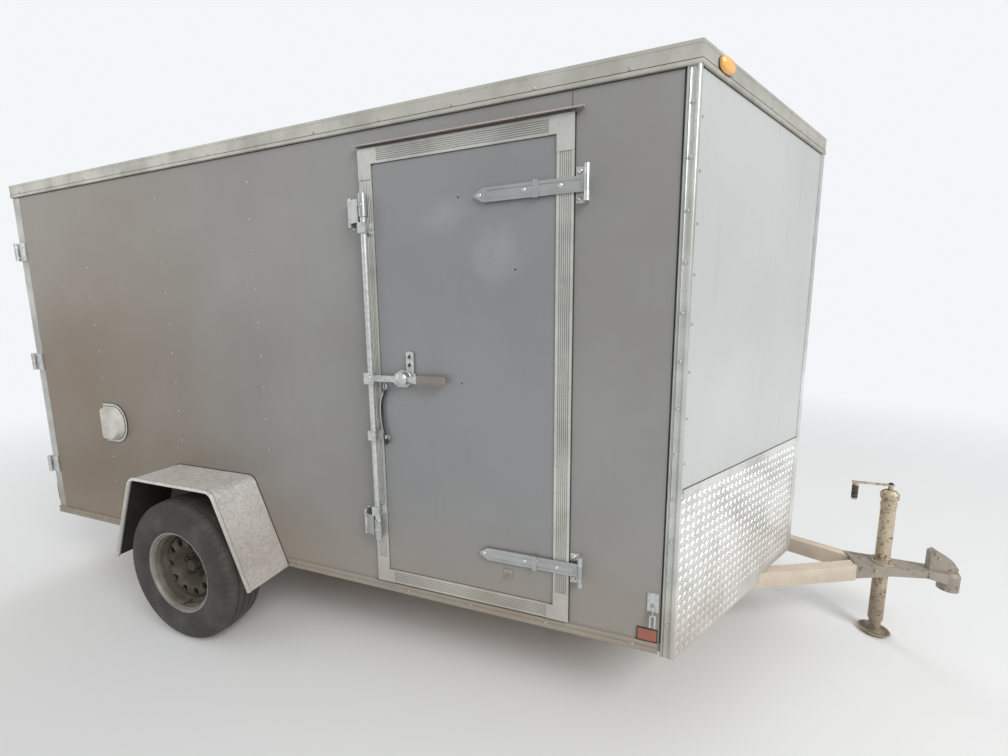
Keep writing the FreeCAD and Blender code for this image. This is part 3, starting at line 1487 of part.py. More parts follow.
def reflectors():
    """Amber reflectors low on each side wall, just behind the front corner."""
    start, low = corner_x - reflector_setback, ground_gap + rail_trim_height + running_gap
    plates = []
    for name, side in SIDES:
        face = half + reflector_proud
        across = (half, face) if side > 0 else (-face, -half)
        plates.append(block(f"reflector_{name}", (start, start + reflector_length), across,
                            (low, low + reflector_height)))
    return plates


keep("side_reflectors", together("reflector_set", reflectors()))

# Rear frame and its two doors
portal_inner = half - portal_post
sill_z = floor_z
header_z = roof_top - portal_header


def portal():
    """Rear frame: two posts, a sill and a deep header."""
    outline = [(-half, ground_gap), (half, ground_gap), (half, roof_top), (-half, roof_top)]
    inside = [(-portal_inner, sill_z), (portal_inner, sill_z), (portal_inner, header_z),
              (-portal_inner, header_z)]
    return prism("portal_body", "YZ", outline, portal_depth, x=rear_x, cutouts=[inside])


keep("rear_frame", portal())
rear_pin_x = rear_x - rear_hinge_standoff
rear_pin_y = half + rear_hinge_outboard


def rear_door(name, side):
    """One leaf of the rear pair: an edging round a skin that lies a little deeper."""
    outer, inner = portal_inner - rear_door_gap, rear_meeting_gap / 2
    low, high = sill_z + rear_door_gap, header_z - rear_door_gap
    spans = {"slab": (outer, inner, 0), "field": (outer, inner, rear_edging)}
    made = {}
    for part_name, (out_edge, in_edge, inset) in spans.items():
        near, far = in_edge + inset, out_edge - inset
        across = (near, far) if side > 0 else (-far, -near)
        depth = rear_recess if part_name == "field" else rear_door_thick
        made[part_name] = block(f"rear_{part_name}_{name}", (rear_x, rear_x + depth), across,
                                (low + inset, high - inset))
    return cut(f"rear_leaf_{name}", made["slab"], made["field"])


rear_levels = (0.14, 0.5, 0.86)


def rear_hinge_parts(side):
    """Straps on the door and leaves round the body's corner, three a side."""
    straps, leaves = [], []
    bottom, top = float(sill_z), float(header_z)
    x, y = float(rear_pin_x), side * float(rear_pin_y)
    back = float(rear_x)
    tall, wide = float(rear_knuckle_length) / 2, float(rear_strap_width) / 2
    off, thick = float(rear_strap_off), float(rear_strap_thick)
    edge = side * float(portal_inner - rear_door_gap)
    tip = edge - side * float(rear_strap_reach)
    wall_face, leaf_face = side * float(half), side * float(half + rear_leaf_thick)
    gap = float(running_gap)
    for share in rear_levels:
        mid = bottom + (top - bottom) * share
        strap = Part.makeBox(thick, abs(y - tip), 2 * wide, vec(back - off - thick, min(y, tip), mid - wide))
        pad = Part.makeBox(off, abs(edge - tip), 2 * wide, vec(back - off, min(edge, tip), mid - wide))
        knuckle = bar(float(knuckle_radius), 2 * wide, vec(x, y, mid - wide))
        bore = Part.makeCylinder(float(pin_radius) + gap, 2 * wide, vec(x, y, mid - wide))
        straps.append(strap.multiFuse([knuckle, pad]).cut(bore))
        leaf = [bar(float(pin_radius), 2 * tall, vec(x, y, mid - tall)),
                Part.makeBox(float(rear_leaf_length), abs(leaf_face - wall_face), 2 * tall,
                             vec(back, min(wall_face, leaf_face), mid - tall))]
        rise = tall - wide - gap
        for low in (mid - tall, mid + wide + gap):
            leaf.append(bar(float(knuckle_radius), rise, vec(x, y, low)))
            leaf.append(Part.makeBox(back - x, abs(leaf_face - wall_face), rise,
                                     vec(x, min(wall_face, leaf_face), low)))
        leaves.append(leaf[0].multiFuse(leaf[1:]))
    return straps, leaves


fixed_leaves = []
for name, side in SIDES:
    straps, leaves = rear_hinge_parts(side)
    fixed_leaves.extend(leaves)
    keep(f"rear_door_{name}", rear_door(name, side))
    keep(f"rear_straps_{name}", shaped(f"rear_straps_body_{name}", Part.makeCompound(straps)))
keep("rear_hinge_leaves", shaped("rear_leaves_body", Part.makeCompound(fixed_leaves)))


def rear_bar(name, side):
    """Lock bar near each rear door's free edge, in guides, with its handle."""
    x, y = float(rear_x - rear_bar_standoff), side * float(rear_bar_out)
    low, high = float(sill_z - rear_bar_past_sill), float(header_z + rear_bar_past_header)
    tall, wide = float(rear_guide_height), float(rear_guide_width)
    depth = float(rear_bar_standoff)
    tube = Part.makeCylinder(float(bar_radius), high - low, vec(x, y, low))
    parts = []
    for middle in (low + float(rear_guide_inset), float(ground_gap + rear_guide_middle),
                   high - float(rear_guide_inset)):
        parts.append(Part.makeBox(depth, wide, tall, vec(x, y - wide / 2, middle - tall / 2)))
    level, reach = float(ground_gap + rear_handle_level), float(rear_handle_reach)
    rise, thick = float(rear_handle_height), float(rear_handle_thick)
    parts.append(Part.makeBox(thick, reach, rise, vec(x - 2 * thick, min(y, y + side * reach), level)))
    parts.append(Part.makeCylinder(float(rear_collar_radius), 2 * rise, vec(x, y, level - rise / 2)))
    return shaped(f"rear_bar_body_{name}", tube.multiFuse(parts))


for name, side in SIDES:
    keep(f"rear_bar_{name}", rear_bar(name, side))


def rear_keepers():
    """Keepers on the rear frame's sill and header, one for each end of each lock bar."""
    wide, tall, sheet_now = (float(value) for value in
                             (rear_keeper_width, rear_keeper_height, rear_keeper_sheet))
    gap = float(bar_radius + rear_keeper_sheet)
    reach, back = float(rear_keeper_reach), float(rear_x)
    low, high = float(sill_z - running_gap) - tall, float(header_z + running_gap)
    pieces = []
    for _, side in SIDES:
        for z in (low, high):
            y = side * float(rear_bar_out)
            base = Part.makeBox(sheet_now, wide, tall, vec(back - sheet_now, y - wide / 2, z))
            ears = [Part.makeBox(reach, sheet_now, tall, vec(back - reach, y + out, z))
                    for out in (-gap - sheet_now, gap)]
            pieces.append(base.multiFuse(ears))
    return shaped("rear_keepers_body", Part.makeCompound(pieces))


keep("rear_keepers", rear_keepers())


def tail_lamps():
    """Upright oval lamps low on the rear frame's posts."""
    lamps = []
    for _, side in SIDES:
        lamp = oval(float(tail_lamp_length), float(tail_lamp_height), float(tail_lamp_proud))
        lamp.rotate(vec(), vec(0, 0, 1), -90)
        lamp.rotate(vec(), vec(1, 0, 0), 90)
        lamp.translate(vec(float(rear_x - running_gap), side * float(half - tail_lamp_inset),
                           float(ground_gap + tail_lamp_level)))
        lamps.append(lamp)
    return shaped("tail_lamps_body", Part.makeCompound(lamps))


keep("tail_lamps", tail_lamps())

# Check and write
doc.recompute()
faults = []
for item in doc.Objects:
    if "Invalid" in item.State or "Error" in item.State:
        faults.append(f"{item.Name}: {item.State}")
for item in subparts:
    if item.Shape.isNull() or not item.Shape.isValid():
        faults.append(f"{item.Label}: bad shape")
if faults:
    raise RuntimeError("; ".join(faults))

os.makedirs("parts", exist_ok=True)
for item in subparts:
    item.Shape.exportStep(f"parts/{item.Label}.step")
box = subparts[0].Shape.BoundBox
for item in subparts[1:]:
    box.add(item.Shape.BoundBox)
print(f"{len(subparts)} sub-parts, {len(cells)} sizes")
print(f"x {box.XMin:.1f} to {box.XMax:.1f}, y {box.YMin:.1f} to {box.YMax:.1f}, "
      f"z {box.ZMin:.1f} to {box.ZMax:.1f}")
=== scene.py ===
# %% [markdown]
# # An enclosed cargo trailer with a V-shaped nose
# The CAD model gives every plate, tube and hinge its size and place, and it is loaded here as a
# frame that is never moved. This script adds the looks: screws, seams, the raised pattern of the
# tread plate, tyre tread, wheel nuts, lamp lenses, and a finish for every surface.

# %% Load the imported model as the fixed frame
import math

import bmesh
import bpy
import numpy as np
from mathutils import Matrix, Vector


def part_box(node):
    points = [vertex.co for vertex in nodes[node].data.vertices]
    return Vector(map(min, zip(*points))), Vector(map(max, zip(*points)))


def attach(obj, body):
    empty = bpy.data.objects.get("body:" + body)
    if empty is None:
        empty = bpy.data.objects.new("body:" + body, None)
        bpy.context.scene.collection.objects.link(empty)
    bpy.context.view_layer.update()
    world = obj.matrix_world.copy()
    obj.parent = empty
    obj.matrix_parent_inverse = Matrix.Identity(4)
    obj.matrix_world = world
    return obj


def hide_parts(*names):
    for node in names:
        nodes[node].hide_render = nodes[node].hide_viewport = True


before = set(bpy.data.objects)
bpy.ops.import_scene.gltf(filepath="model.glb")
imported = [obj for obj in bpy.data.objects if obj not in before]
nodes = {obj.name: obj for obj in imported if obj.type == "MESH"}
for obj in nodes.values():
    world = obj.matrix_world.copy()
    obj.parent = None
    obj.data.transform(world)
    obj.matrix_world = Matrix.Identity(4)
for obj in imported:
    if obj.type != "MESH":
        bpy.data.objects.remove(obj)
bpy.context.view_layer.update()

# %% [markdown]
# Everything on this trailer is placed from its body: a long box whose front is a V. Reading those
# few sizes off the frame, in metres, means that each screw and seam follows if the body changes.

# %% Read the body's sizes off the frame
INCH = 0.0254
FOOT = 12 * INCH


def low(node):
    return np.array(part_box(node)[0])


def high(node):
    return np.array(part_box(node)[1])


front_x = high("curb_wall_front")[0]
rear_x = low("rear_frame")[0]
half = -low("curb_wall_front")[1]
base_z = low("side_rails")[2]
roof_z = high("roof_trim")[2]
nose_tip = high("nose_wall_curb")[0]
nose_flat = high("nose_post")[1]
roof_trim_z = low("roof_trim")[2]
trim_face = -low("roof_trim")[1]
rail_top = high("rail_trims")[2]
rail_face = -low("rail_trims")[1]
nose_run = np.array([nose_tip - front_x, half - nose_flat])
nose_length = float(np.hypot(*nose_run))
print(f"body {nose_tip - rear_x:.3f} long, {2 * half:.3f} wide, {roof_z - base_z:.3f} high")

# %% [markdown]
# The nose is two flat panels that meet at the tip. A place on one is best given by how far it is
# along the panel and how high, so a small helper turns that into a point in the frame, together
# with the panel's outward direction. Side -1 is the curb side and +1 the road side.

# %% Helpers for places on the body and on the nose
SIDES = {"curb": -1, "road": 1}


def points_at(x, y, z):
    """Points from three coordinates, each a number or a list that is matched up with the others."""
    parts = np.broadcast_arrays(*(np.asarray(part, float) for part in (x, y, z)))
    return np.stack(parts, -1).reshape(-1, 3)


def nose_frame(side):
    """Unit vectors of a nose panel: along it towards the tip, up, and outwards."""
    along = np.array([nose_run[0], -side * nose_run[1], 0]) / nose_length
    out = np.array([nose_run[1], side * nose_run[0], 0]) / nose_length
    return along, np.array([0, 0, 1.0]), out


def on_nose(along, z, out, side):
    """Points at distances along a nose panel from its front corner, at heights z, out from it."""
    run, _, away = nose_frame(side)
    along, z = np.broadcast_arrays(np.asarray(along, float), np.asarray(z, float))
    points = np.array([front_x, side * half, 0.0]) + along[..., None] * run + out * away
    points[..., 2] = z
    return points


# %% [markdown]
# A shape here is an array of points and a list of faces. Five ways of making one cover nearly the
# whole trailer: a grid of points in two parameters, a profile turned about an axis, a flat outline
# pushed out into a slab, a circle carried along a path, and one small shape repeated at many places.
# Working on whole arrays keeps each to a few lines and makes thousands of copies cheap.

# %% Helpers that make points and faces
def lattice(points, wrap_u=False, wrap_v=False):
    """Join a grid of points, indexed [u, v], into four-sided faces; wrap closes it that way."""
    index = np.arange(points.shape[0] * points.shape[1]).reshape(points.shape[:2])
    if wrap_u:
        index = np.vstack([index, index[:1]])
    if wrap_v:
        index = np.hstack([index, index[:, :1]])
    faces = np.stack([index[:-1, :-1], index[1:, :-1], index[1:, 1:], index[:-1, 1:]], -1)
    return points.reshape(-1, 3), faces.reshape(-1, 4).tolist()


def with_ends(points, faces, count):
    """Close a shape made of rings of that many points: a face on the first and on the last."""
    total = len(points)
    return points, faces + [list(range(count))[::-1], list(range(total - count, total))]


def merged(*shapes):
    """Stack shapes into one: points follow each other and face numbers move up to match."""
    points, faces, count = [], [], 0
    for own_points, own_faces in shapes:
        points.append(own_points)
        faces.extend([[corner + count for corner in face] for face in own_faces])
        count += len(own_points)
    return np.vstack(points), faces


def placed(shape, origin, axes=np.eye(3)):
    """Move a shape: its x, y and z run along the three rows of axes, from the origin."""
    return shape[0] @ np.asarray(axes, float) + np.asarray(origin, float), shape[1]


def repeated(shape, places, axes=np.eye(3)):
    """The same shape at every place, as one joined shape; all copies share the axes."""
    points, faces = placed(shape, (0, 0, 0), axes)
    places = np.atleast_2d(np.asarray(places, float))
    shifts = (np.arange(len(places)) * len(points)).tolist()
    copies = [[corner + shift for corner in face] for shift in shifts for face in faces]
    return (places[:, None, :] + points[None]).reshape(-1, 3), copies


def lathe(profile, sides=24, capped=True):
    """Turn (radius, height) points about z: x = r cos a, y = r sin a, z = height."""
    radius, height = np.asarray(profile, float).T
    angle = np.linspace(0, 2 * np.pi, sides, endpoint=False)
    grid = np.stack([radius[:, None] * np.cos(angle), radius[:, None] * np.sin(angle),
                     np.repeat(height[:, None], sides, 1)], -1)
    points, faces = lattice(grid, wrap_v=True)
    faces = [face[::-1] for face in faces]
    return with_ends(points, faces, sides) if capped else (points, faces)


def slab(outline, depth):
    """Push a flat outline in x and y, given anticlockwise, from z = 0 up to the depth."""
    outline = np.asarray(outline, float)
    count = len(outline)
    levels = [np.column_stack([outline, np.full(count, z)]) for z in (0.0, depth)]
    ring = [[i, (i + 1) % count, count + (i + 1) % count, count + i] for i in range(count)]
    return with_ends(np.vstack(levels), ring, count)


def block(lows, highs):
    """A box between two corners."""
    (x0, y0, z0), (x1, y1, z1) = lows, highs
    points, faces = slab([(x0, y0), (x1, y0), (x1, y1), (x0, y1)], z1 - z0)
    return points + [0, 0, z0], faces


def tube(path, radius, sides=12, closed=False):
    """Carry a circle along a path; each ring stands square to the path's direction there."""
    path = np.asarray(path, float)
    ahead = np.roll(path, -1, 0) - np.roll(path, 1, 0) if closed else np.gradient(path, axis=0)
    ahead /= np.linalg.norm(ahead, axis=1, keepdims=True)
    spread = np.linalg.svd(path - path.mean(0))[2]
    across = np.cross(ahead, spread[2])
    across /= np.linalg.norm(across, axis=1, keepdims=True)
    up = np.cross(across, ahead)
    angle = np.linspace(0, 2 * np.pi, sides, endpoint=False)
    radius = np.broadcast_to(radius, len(path))[:, None, None]
    ring = across[:, None] * np.cos(angle)[:, None] + up[:, None] * np.sin(angle)[:, None]
    points, faces = lattice(path[:, None] + radius * ring, wrap_u=closed, wrap_v=True)
    return (points, faces) if closed else with_ends(points, faces, sides)


# %% [markdown]
# A shape becomes a piece when it has a mesh, a finish, a material slot and a body to ride on.
# Normals are worked out again on the finished mesh, because a mirrored copy turns its faces inside
# out. Edges sharper than about 30 degrees stay crisp, and a small bevel can catch the light. Most
# things come as a pair, one on each side, so a second helper makes both.

# %% Turn a shape into a piece
SMOOTH_BELOW = math.radians(32)
BEVEL_ABOVE = math.radians(40)
look = {}


def piece(name, shape, finish, body="trailer", stands_for=(), bevel=0.0, merge=0.0):
    """Make a mesh object from points and faces, give it its finish and let it ride on a body."""
    mesh = bpy.data.meshes.new(name)
    mesh.from_pydata(shape[0].tolist(), [], shape[1])
    work = bmesh.new()
    work.from_mesh(mesh)
    if merge:
        bmesh.ops.remove_doubles(work, verts=work.verts, dist=merge)
    bmesh.ops.recalc_face_normals(work, faces=work.faces)
    work.to_mesh(mesh)
    work.free()
    mesh.polygons.foreach_set("use_smooth", np.ones(len(mesh.polygons), bool))
    mesh.set_sharp_from_angle(angle=SMOOTH_BELOW)
    mesh.materials.append(look[finish])
    made = bpy.data.objects.new(name, mesh)
    bpy.context.scene.collection.objects.link(made)
    if bevel:
        rounding = made.modifiers.new("edges", "BEVEL")
        rounding.width = bevel
        rounding.segments = 2
        rounding.limit_method = "ANGLE"
        rounding.angle_limit = BEVEL_ABOVE
        rounding.harden_normals = True
    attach(made, body)
    if stands_for:
        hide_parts(*stands_for)
    print(name, len(mesh.polygons), "faces")


def pair(*rows, body="trailer", merge=0.0):
    """Curb and road pieces from rows of (name, function that makes a side's shape, finish, slot that is
    not used, node stood for). The node, and a body that ends in _, get the side's name added."""
    for key, side in SIDES.items():
        own_body = body + key if body[-1] == "_" else body
        for name, make, finish, slot, *stood_for in rows:
            piece(f"{name}_{key}", make(side), finish, own_body,
                  [node + key for node in stood_for], merge=merge)


# %% [markdown]
# ## Finishes
# A finish is a small graph of nodes, and most of it is arithmetic on masks: where dust lies, where
# paint has worn. Written as nodes that is long and hard to read, so one class wraps a socket and
# lets Python's own operators add the Math nodes.

# %% Shader maths as Python expressions
def add_node(tree, kind, settings=None, values=None, output=0):
    """Add a node: settings are its properties, values its inputs by name or number."""
    made = tree.nodes.new(kind)
    for key, value in (settings or {}).items():
        setattr(made, key, value)
    for key, value in (values or {}).items():
        feed(tree, made.inputs[key], value)
    return Val(tree, made.outputs[output])


def feed(tree, entry, value):
    """Link a value to an input, or set the input where the value is the same all over."""
    if isinstance(value, Val):
        tree.links.new(value.socket, entry)
    elif entry.type == "RGBA":
        entry.default_value = (*value, 1.0)
    else:
        entry.default_value = value


def maths(operation):
    """A method that adds the Math node of an operation on two values."""
    return lambda self, other: self.math(operation, self, other)


class Val:
    """A number that changes over a surface; each operator adds the Math node of its name."""

    def __init__(self, tree, socket):
        self.tree = tree
        self.socket = socket

    def math(self, operation, *values):
        return add_node(self.tree, "ShaderNodeMath", {"operation": operation}, dict(enumerate(values)))

    __add__ = __radd__ = maths("ADD")
    __mul__ = __rmul__ = maths("MULTIPLY")
    __sub__ = maths("SUBTRACT")
    __truediv__ = maths("DIVIDE")
    __gt__ = maths("GREATER_THAN")
    __lt__ = maths("LESS_THAN")
    most = maths("MAXIMUM")
    least = maths("MINIMUM")

    def __rsub__(self, other):
        return self.math("SUBTRACT", other, self)

    def alone(self, operation):
        """The Math node of an operation on this value alone."""
        return self.math(operation, self)

    def step(self, start, end):
        """0 before start, 1 after end and a smooth rise between; start may be the larger."""
        return add_node(self.tree, "ShaderNodeMapRange", {"interpolation_type": "SMOOTHSTEP"},
                        {"Value": self, "From Min": min(start, end), "From Max": max(start, end),
                         "To Min": float(start > end), "To Max": float(start < end)})


# %% [markdown]
# A finish starts from Blender's Principled shader and adds textures in Object coordinates, which on
# this trailer are simply metres in the frame. Noise can be stretched, so the same texture gives
# blotches, rain streaks or the grain of brushed metal.

# %% A finish under construction
class Finish:
    """A material with the few textures that the finishes below share."""

    def __init__(self, name, coat=0.0, coat_roughness=0.1):
        look[name] = bpy.data.materials.new(name)
        look[name].use_nodes = True
        self.tree = look[name].node_tree
        self.shader = self.tree.nodes["Principled BSDF"]
        self.set({"Coat Weight": coat, "Coat Roughness": coat_roughness, "IOR": 1.5})
        self.place = self.node("ShaderNodeTexCoord", output="Object")
        self.x, self.y, self.z = (self.node("ShaderNodeSeparateXYZ", output=axis,
                                            values={"Vector": self.place}) for axis in "XYZ")

    def set(self, values):
        for socket, value in values.items():
            feed(self.tree, self.shader.inputs[socket], value)

    def node(self, kind, settings=None, values=None, output=0):
        return add_node(self.tree, kind, settings, values, output)

    def stretched(self, stretch, shift=(0, 0, 0)):
        """Object coordinates multiplied by a stretch on each axis, after a shift."""
        return self.node("ShaderNodeMapping", None,
                         {"Vector": self.place, "Scale": stretch, "Location": shift})

    def noise(self, scale, detail=4.0, stretch=(1, 1, 1), rough=0.55, shift=(0, 0, 0), warp=0.0):
        return self.node("ShaderNodeTexNoise", None,
                         {"Vector": self.stretched(stretch, shift), "Scale": scale,
                          "Detail": detail, "Roughness": rough, "Distortion": warp})

    def cells(self, scale, output="Distance", jitter=1.0):
        return self.node("ShaderNodeTexVoronoi", None, {"Vector": self.stretched((1, 1, 1)),
                                                        "Scale": scale, "Randomness": jitter}, output)

    def mix(self, amount, first, second):
        """The first colour where the amount is 0 and the second where it is 1."""
        return self.node("ShaderNodeMix", {"data_type": "RGBA"}, {0: amount, 6: first, 7: second}, 2)

    def dust(self, top, bottom):
        """A mask that grows from the top level down to the bottom one, broken up by noise."""
        cloud = self.noise(2.3, 6, stretch=(1, 1, 0.7), shift=(3, 1, 2))
        return (self.z.step(top, bottom) * (cloud * 1.7)).least(1.0)

    def surface(self, colour, rough, height=None, distance=0.0, strength=0.5, metallic=0.0):
        """Set the looks; the height raises the surface, in parts of a distance in metres."""
        self.set({"Base Color": colour, "Roughness": rough, "Metallic": metallic})
        if height:
            self.set({"Normal": self.node("ShaderNodeBump", None, {
                "Height": height, "Distance": distance, "Strength": strength}, "Normal")})


DUST = (0.30, 0.25, 0.19)
MUD = (0.17, 0.13, 0.09)
RUST = (0.175, 0.085, 0.042)
DARK_RUST = (0.085, 0.038, 0.022)


def times(colour, factor):
    """A colour made lighter or darker by a factor, never above white."""
    return tuple(min(1.0, factor * part) for part in colour)


# %% [markdown]
# The walls are thin painted sheet over studs. Satin paint like this has a fine metallic grain, rain
# streaks, road dust low down, and a brown cast towards the rear where the sheet has aged. The sheet
# is never quite flat between studs, so a very shallow wide bump bends its reflections. The inner
# face of the same solid is the plywood lining, which a distance from the outer plane tells apart.

# %% Painted sheet and plywood
SHEET_DEPTH = 0.02


def plywood_colour(work):
    """Long grain along the sheet, broken by finer and darker lines."""
    grain = work.noise(5.0, 5, stretch=(1.2, 9, 9), warp=0.6)
    fine = work.noise(90.0, 3, stretch=(0.06, 1, 1))
    base = work.mix(grain, (0.50, 0.34, 0.20), (0.32, 0.20, 0.11))
    return work.mix(fine * 0.45, base, (0.22, 0.14, 0.08))


def painted_sheet(name, paint, aged, plane, offset, brown=0.0, gloss=0.42, scuffs=()):
    """Paint outside and plywood inside a wall whose outer face is plane . place = offset. Brown is
    the cast towards the rear; scuffs are soft pale marks, each as (x, z, reach across, reach up)."""
    work = Finish(name, coat=0.12, coat_roughness=0.25)
    cloud = work.noise(1.7, 5, shift=(4, 0, 1))
    colour = work.mix(cloud.step(0.3, 0.75) * 0.7, paint, aged)
    colour = work.mix(work.noise(900.0, 1) * 0.22, colour, times(paint, 1.6))
    if brown:
        rear = work.x.step(0.1, rear_x + 0.5) * (0.5 + cloud * 0.8)
        colour = work.mix((rear * brown).least(1.0), colour, (0.235, 0.205, 0.165))
        lower = work.z.step(2.2, 1.2) * work.x.step(-0.5, -2.1) * (0.4 + cloud * 0.7)
        colour = work.mix(lower.least(1.0), colour, (0.205, 0.150, 0.098))
        foot = work.z.step(1.1, base_z + 0.1) * work.x.step(-0.2, -1.9) * (0.4 + cloud)
        colour = work.mix(foot.least(1.0) * 0.8, colour, (0.145, 0.102, 0.062))
    streaks = work.noise(26.0, 3, stretch=(1, 1, 0.05)).step(0.56, 0.78)
    wash = streaks * work.noise(2.0, 2, shift=(9, 9, 9)).step(0.45, 0.7)
    colour = work.mix(wash * 0.28, colour, times(paint, 0.62))
    for x, z, reach, rise in scuffs:
        aside, above = (work.x - x) / reach, (work.z - z) / rise
        spot = (aside * aside + above * above).alone("SQRT").step(1.0, 0.2)
        spot = spot * work.noise(9.0, 5, stretch=(1, 1, 0.6), warp=0.5).step(0.3, 0.75)
        colour = work.mix(spot * 0.34, colour, times(paint, 1.7))
    soil = work.dust(base_z + 0.55, base_z - 0.02)
    colour = work.mix(soil * 0.6, colour, DUST)
    depth = work.x * plane[0] + work.y * plane[1] + work.z * plane[2] - offset
    inside = depth < -SHEET_DEPTH
    swell = work.noise(1.15, 2, shift=(2, 7, 5)) + work.noise(240.0, 2) * 0.0035
    work.surface(work.mix(inside, colour, plywood_colour(work)),
                 (cloud * 0.16 + gloss - 0.08 + soil * 0.3).most(inside * 0.7), swell, 0.03, 0.35,
                 metallic=(1.0 - inside) * 0.22 * (1.0 - soil))


PEWTER = ((0.265, 0.262, 0.255), (0.205, 0.198, 0.19))
# Painted light: the nose's paint is paler than the walls' partly because the front is more brightly lit.
SILVER_AND_LIGHT = ((0.515, 0.53, 0.515), (0.435, 0.45, 0.44))
DOOR_PAINT = ((0.248, 0.252, 0.252), (0.198, 0.208, 0.214))
SCUFFS = [(0.357, 1.949, 0.15, 0.09), (0.540, 1.800, 0.17, 0.16)]
for key, side in SIDES.items():
    painted_sheet(f"wall_{key}", *PEWTER, (0, side, 0), half, 0.85)
    out = nose_frame(side)[2]
    painted_sheet(f"nose_{key}", *SILVER_AND_LIGHT, tuple(out), float(out @ on_nose(0.0, 0.0, 0.0, side)))
painted_sheet("door_paint", *DOOR_PAINT, (0, -1, 0), half, gloss=0.38, scuffs=SCUFFS)
painted_sheet("rear_paint", *PEWTER, (-1, 0, 0), -float(rear_x), gloss=0.4)
print("painted sheet finishes:", len(look))

# %% [markdown]
# Bare aluminium is everywhere on such a trailer: the roof edge, the rails, the corner coves and the
# door frame. Weather leaves it dull and blotchy, with bright rubbed places, and extrusions keep
# faint lines along their length. One recipe with a direction for those lines serves them all.


# %% Bare aluminium
FRAME_WIDTH = 0.059
RIB_START, RIB_PITCH = 0.136, 0.1215
EVEN, LONG, TALL = (1, 1, 1), (0.02, 1, 1), (1, 1, 0.02)


def door_groove_shade(work):
    """Where painted shade darkens the grooves of the door frame: they follow z in its stiles and x in
    its cross pieces.
    """
    start, end = low("side_door_frame"), high("side_door_frame")
    groove = 0.0
    for place, first in ((work.x, start[0]), (work.x, end[0] - FRAME_WIDTH),
                         (work.z, start[2]), (work.z, end[2] - FRAME_WIDTH)):
        across = (place - float(first)) / FRAME_WIDTH
        inside = (across > 0.14) * (across < 0.86)
        line = ((across - RIB_START) / RIB_PITCH).alone("FRACT") - 0.5
        groove = (line.alone("ABSOLUTE").step(0.30, 0.16) * inside).most(groove)
    return groove * (work.y > float(start[1]) + 0.001)


def bare_aluminium(name, bright, dull, rough, lines, metal=0.9, soil=0.45, groove_shade=None):
    """Dull and bright patches, drawn lines stretched along the part, soil low down and, where given,
    painted shade in grooves.
    """
    work = Finish(name)
    cloud = work.noise(6.0, 6, shift=(1, 8, 3))
    spots = work.noise(55.0, 4, shift=(7, 3, 1)).step(0.52, 0.72)
    drawn = work.noise(160.0, 2, stretch=lines)
    colour = work.mix(cloud.step(0.35, 0.7), bright, dull)
    colour = work.mix(spots * 0.3, colour, times(dull, 0.62))
    colour = work.mix(drawn * 0.18, colour, times(dull, 1.25))
    # Painted shade: the door frame's grooves are darkened, unevenly, where the ribs would shade them.
    if groove_shade:
        colour = work.mix(groove_shade(work) * (0.35 + cloud * 0.3), colour, (0.135, 0.130, 0.115))
    dirt = (work.dust(base_z + 0.4, base_z - 0.05) * soil).least(1.0)
    work.surface(work.mix(dirt, colour, DUST), cloud * 0.22 + rough - 0.1 + dirt * 0.35,
                 drawn * 0.5 + spots * 0.4, 0.0006, metallic=(1.0 - dirt) * metal - spots * 0.25)


ALUMINIUMS = {
    "trim_long": ((0.56, 0.55, 0.49), (0.40, 0.39, 0.35), 0.5, LONG, 0.6),
    "trim_tall": ((0.54, 0.54, 0.51), (0.38, 0.38, 0.36), 0.44, TALL, 0.75),
    "trim_cove": ((0.62, 0.63, 0.59), (0.45, 0.47, 0.43), 0.38, TALL),
    "frame_metal": ((0.66, 0.655, 0.61), (0.49, 0.485, 0.45), 0.42, TALL, 0.7, 0.45, door_groove_shade),
    "rail_metal": ((0.46, 0.45, 0.42), (0.31, 0.30, 0.28), 0.46, LONG, 0.9, 0.9),
    "roof_metal": ((0.58, 0.59, 0.58), (0.50, 0.51, 0.50), 0.5, EVEN, 0.6),
    "bright_trim": ((0.86, 0.86, 0.85), (0.68, 0.68, 0.66), 0.26, TALL),
    "tread_metal": ((0.90, 0.90, 0.88), (0.66, 0.66, 0.63), 0.27, EVEN, 0.9, 0.6),
}
for name, values in ALUMINIUMS.items():
    bare_aluminium(name, *values)
print("bare aluminium finishes:", len(ALUMINIUMS))

# %% [markdown]
# Steel parts tell their age. Galvanised ones show the zinc's crystals as a patchwork of greys, and
# rust starts as small spots that spread. The same recipe, with more or less rust, covers the hinge
# straps, the lock gear, the fender and the running gear.


# %% Steel, from bright zinc to rusty paint
def steel(name, base, rough, metal, rust, fine=1.0, spangle=0.0, soil=0.0, levels=(0.6, 0.3)):
    """Steel with a share of rust from 0 to 1, in specks that a larger fine makes smaller, with
    zinc crystals as strong as the spangle, and with soil below the first of two levels."""
    work = Finish(name)
    cloud = work.noise(9.0, 5, shift=(6, 2, 9))
    colour = work.mix(cloud.step(0.3, 0.7) * 0.6, base, times(base, 0.72))
    if spangle:
        crystal = work.cells(85.0, "Color")
        shade = work.node("ShaderNodeSeparateColor", None, {"Color": crystal}, "Red")
        colour = work.mix(shade * spangle, colour, times(base, 1.45))
    spots = work.noise(38.0 * fine, 6, shift=(2, 5, 8), rough=0.65)
    patch = work.noise(7.0 * fine, 4, shift=(8, 8, 1))
    rusty = (spots * 0.6 + patch * 0.4).step(0.66 - 0.36 * rust, 0.74 - 0.3 * rust)
    colour = work.mix(rusty, colour, work.mix(work.noise(70.0, 3), RUST, DARK_RUST))
    if soil:
        dirt = (work.dust(*levels) * soil).least(1.0)
        colour = work.mix(dirt, colour, work.mix(spots, DUST, MUD))
        rusty = rusty.most(dirt)
    work.surface(colour, (cloud * 0.15 + rough - 0.07) + rusty * 0.4, spots * rusty, 0.0012, 0.6,
                 metallic=(1.0 - rusty) * metal)


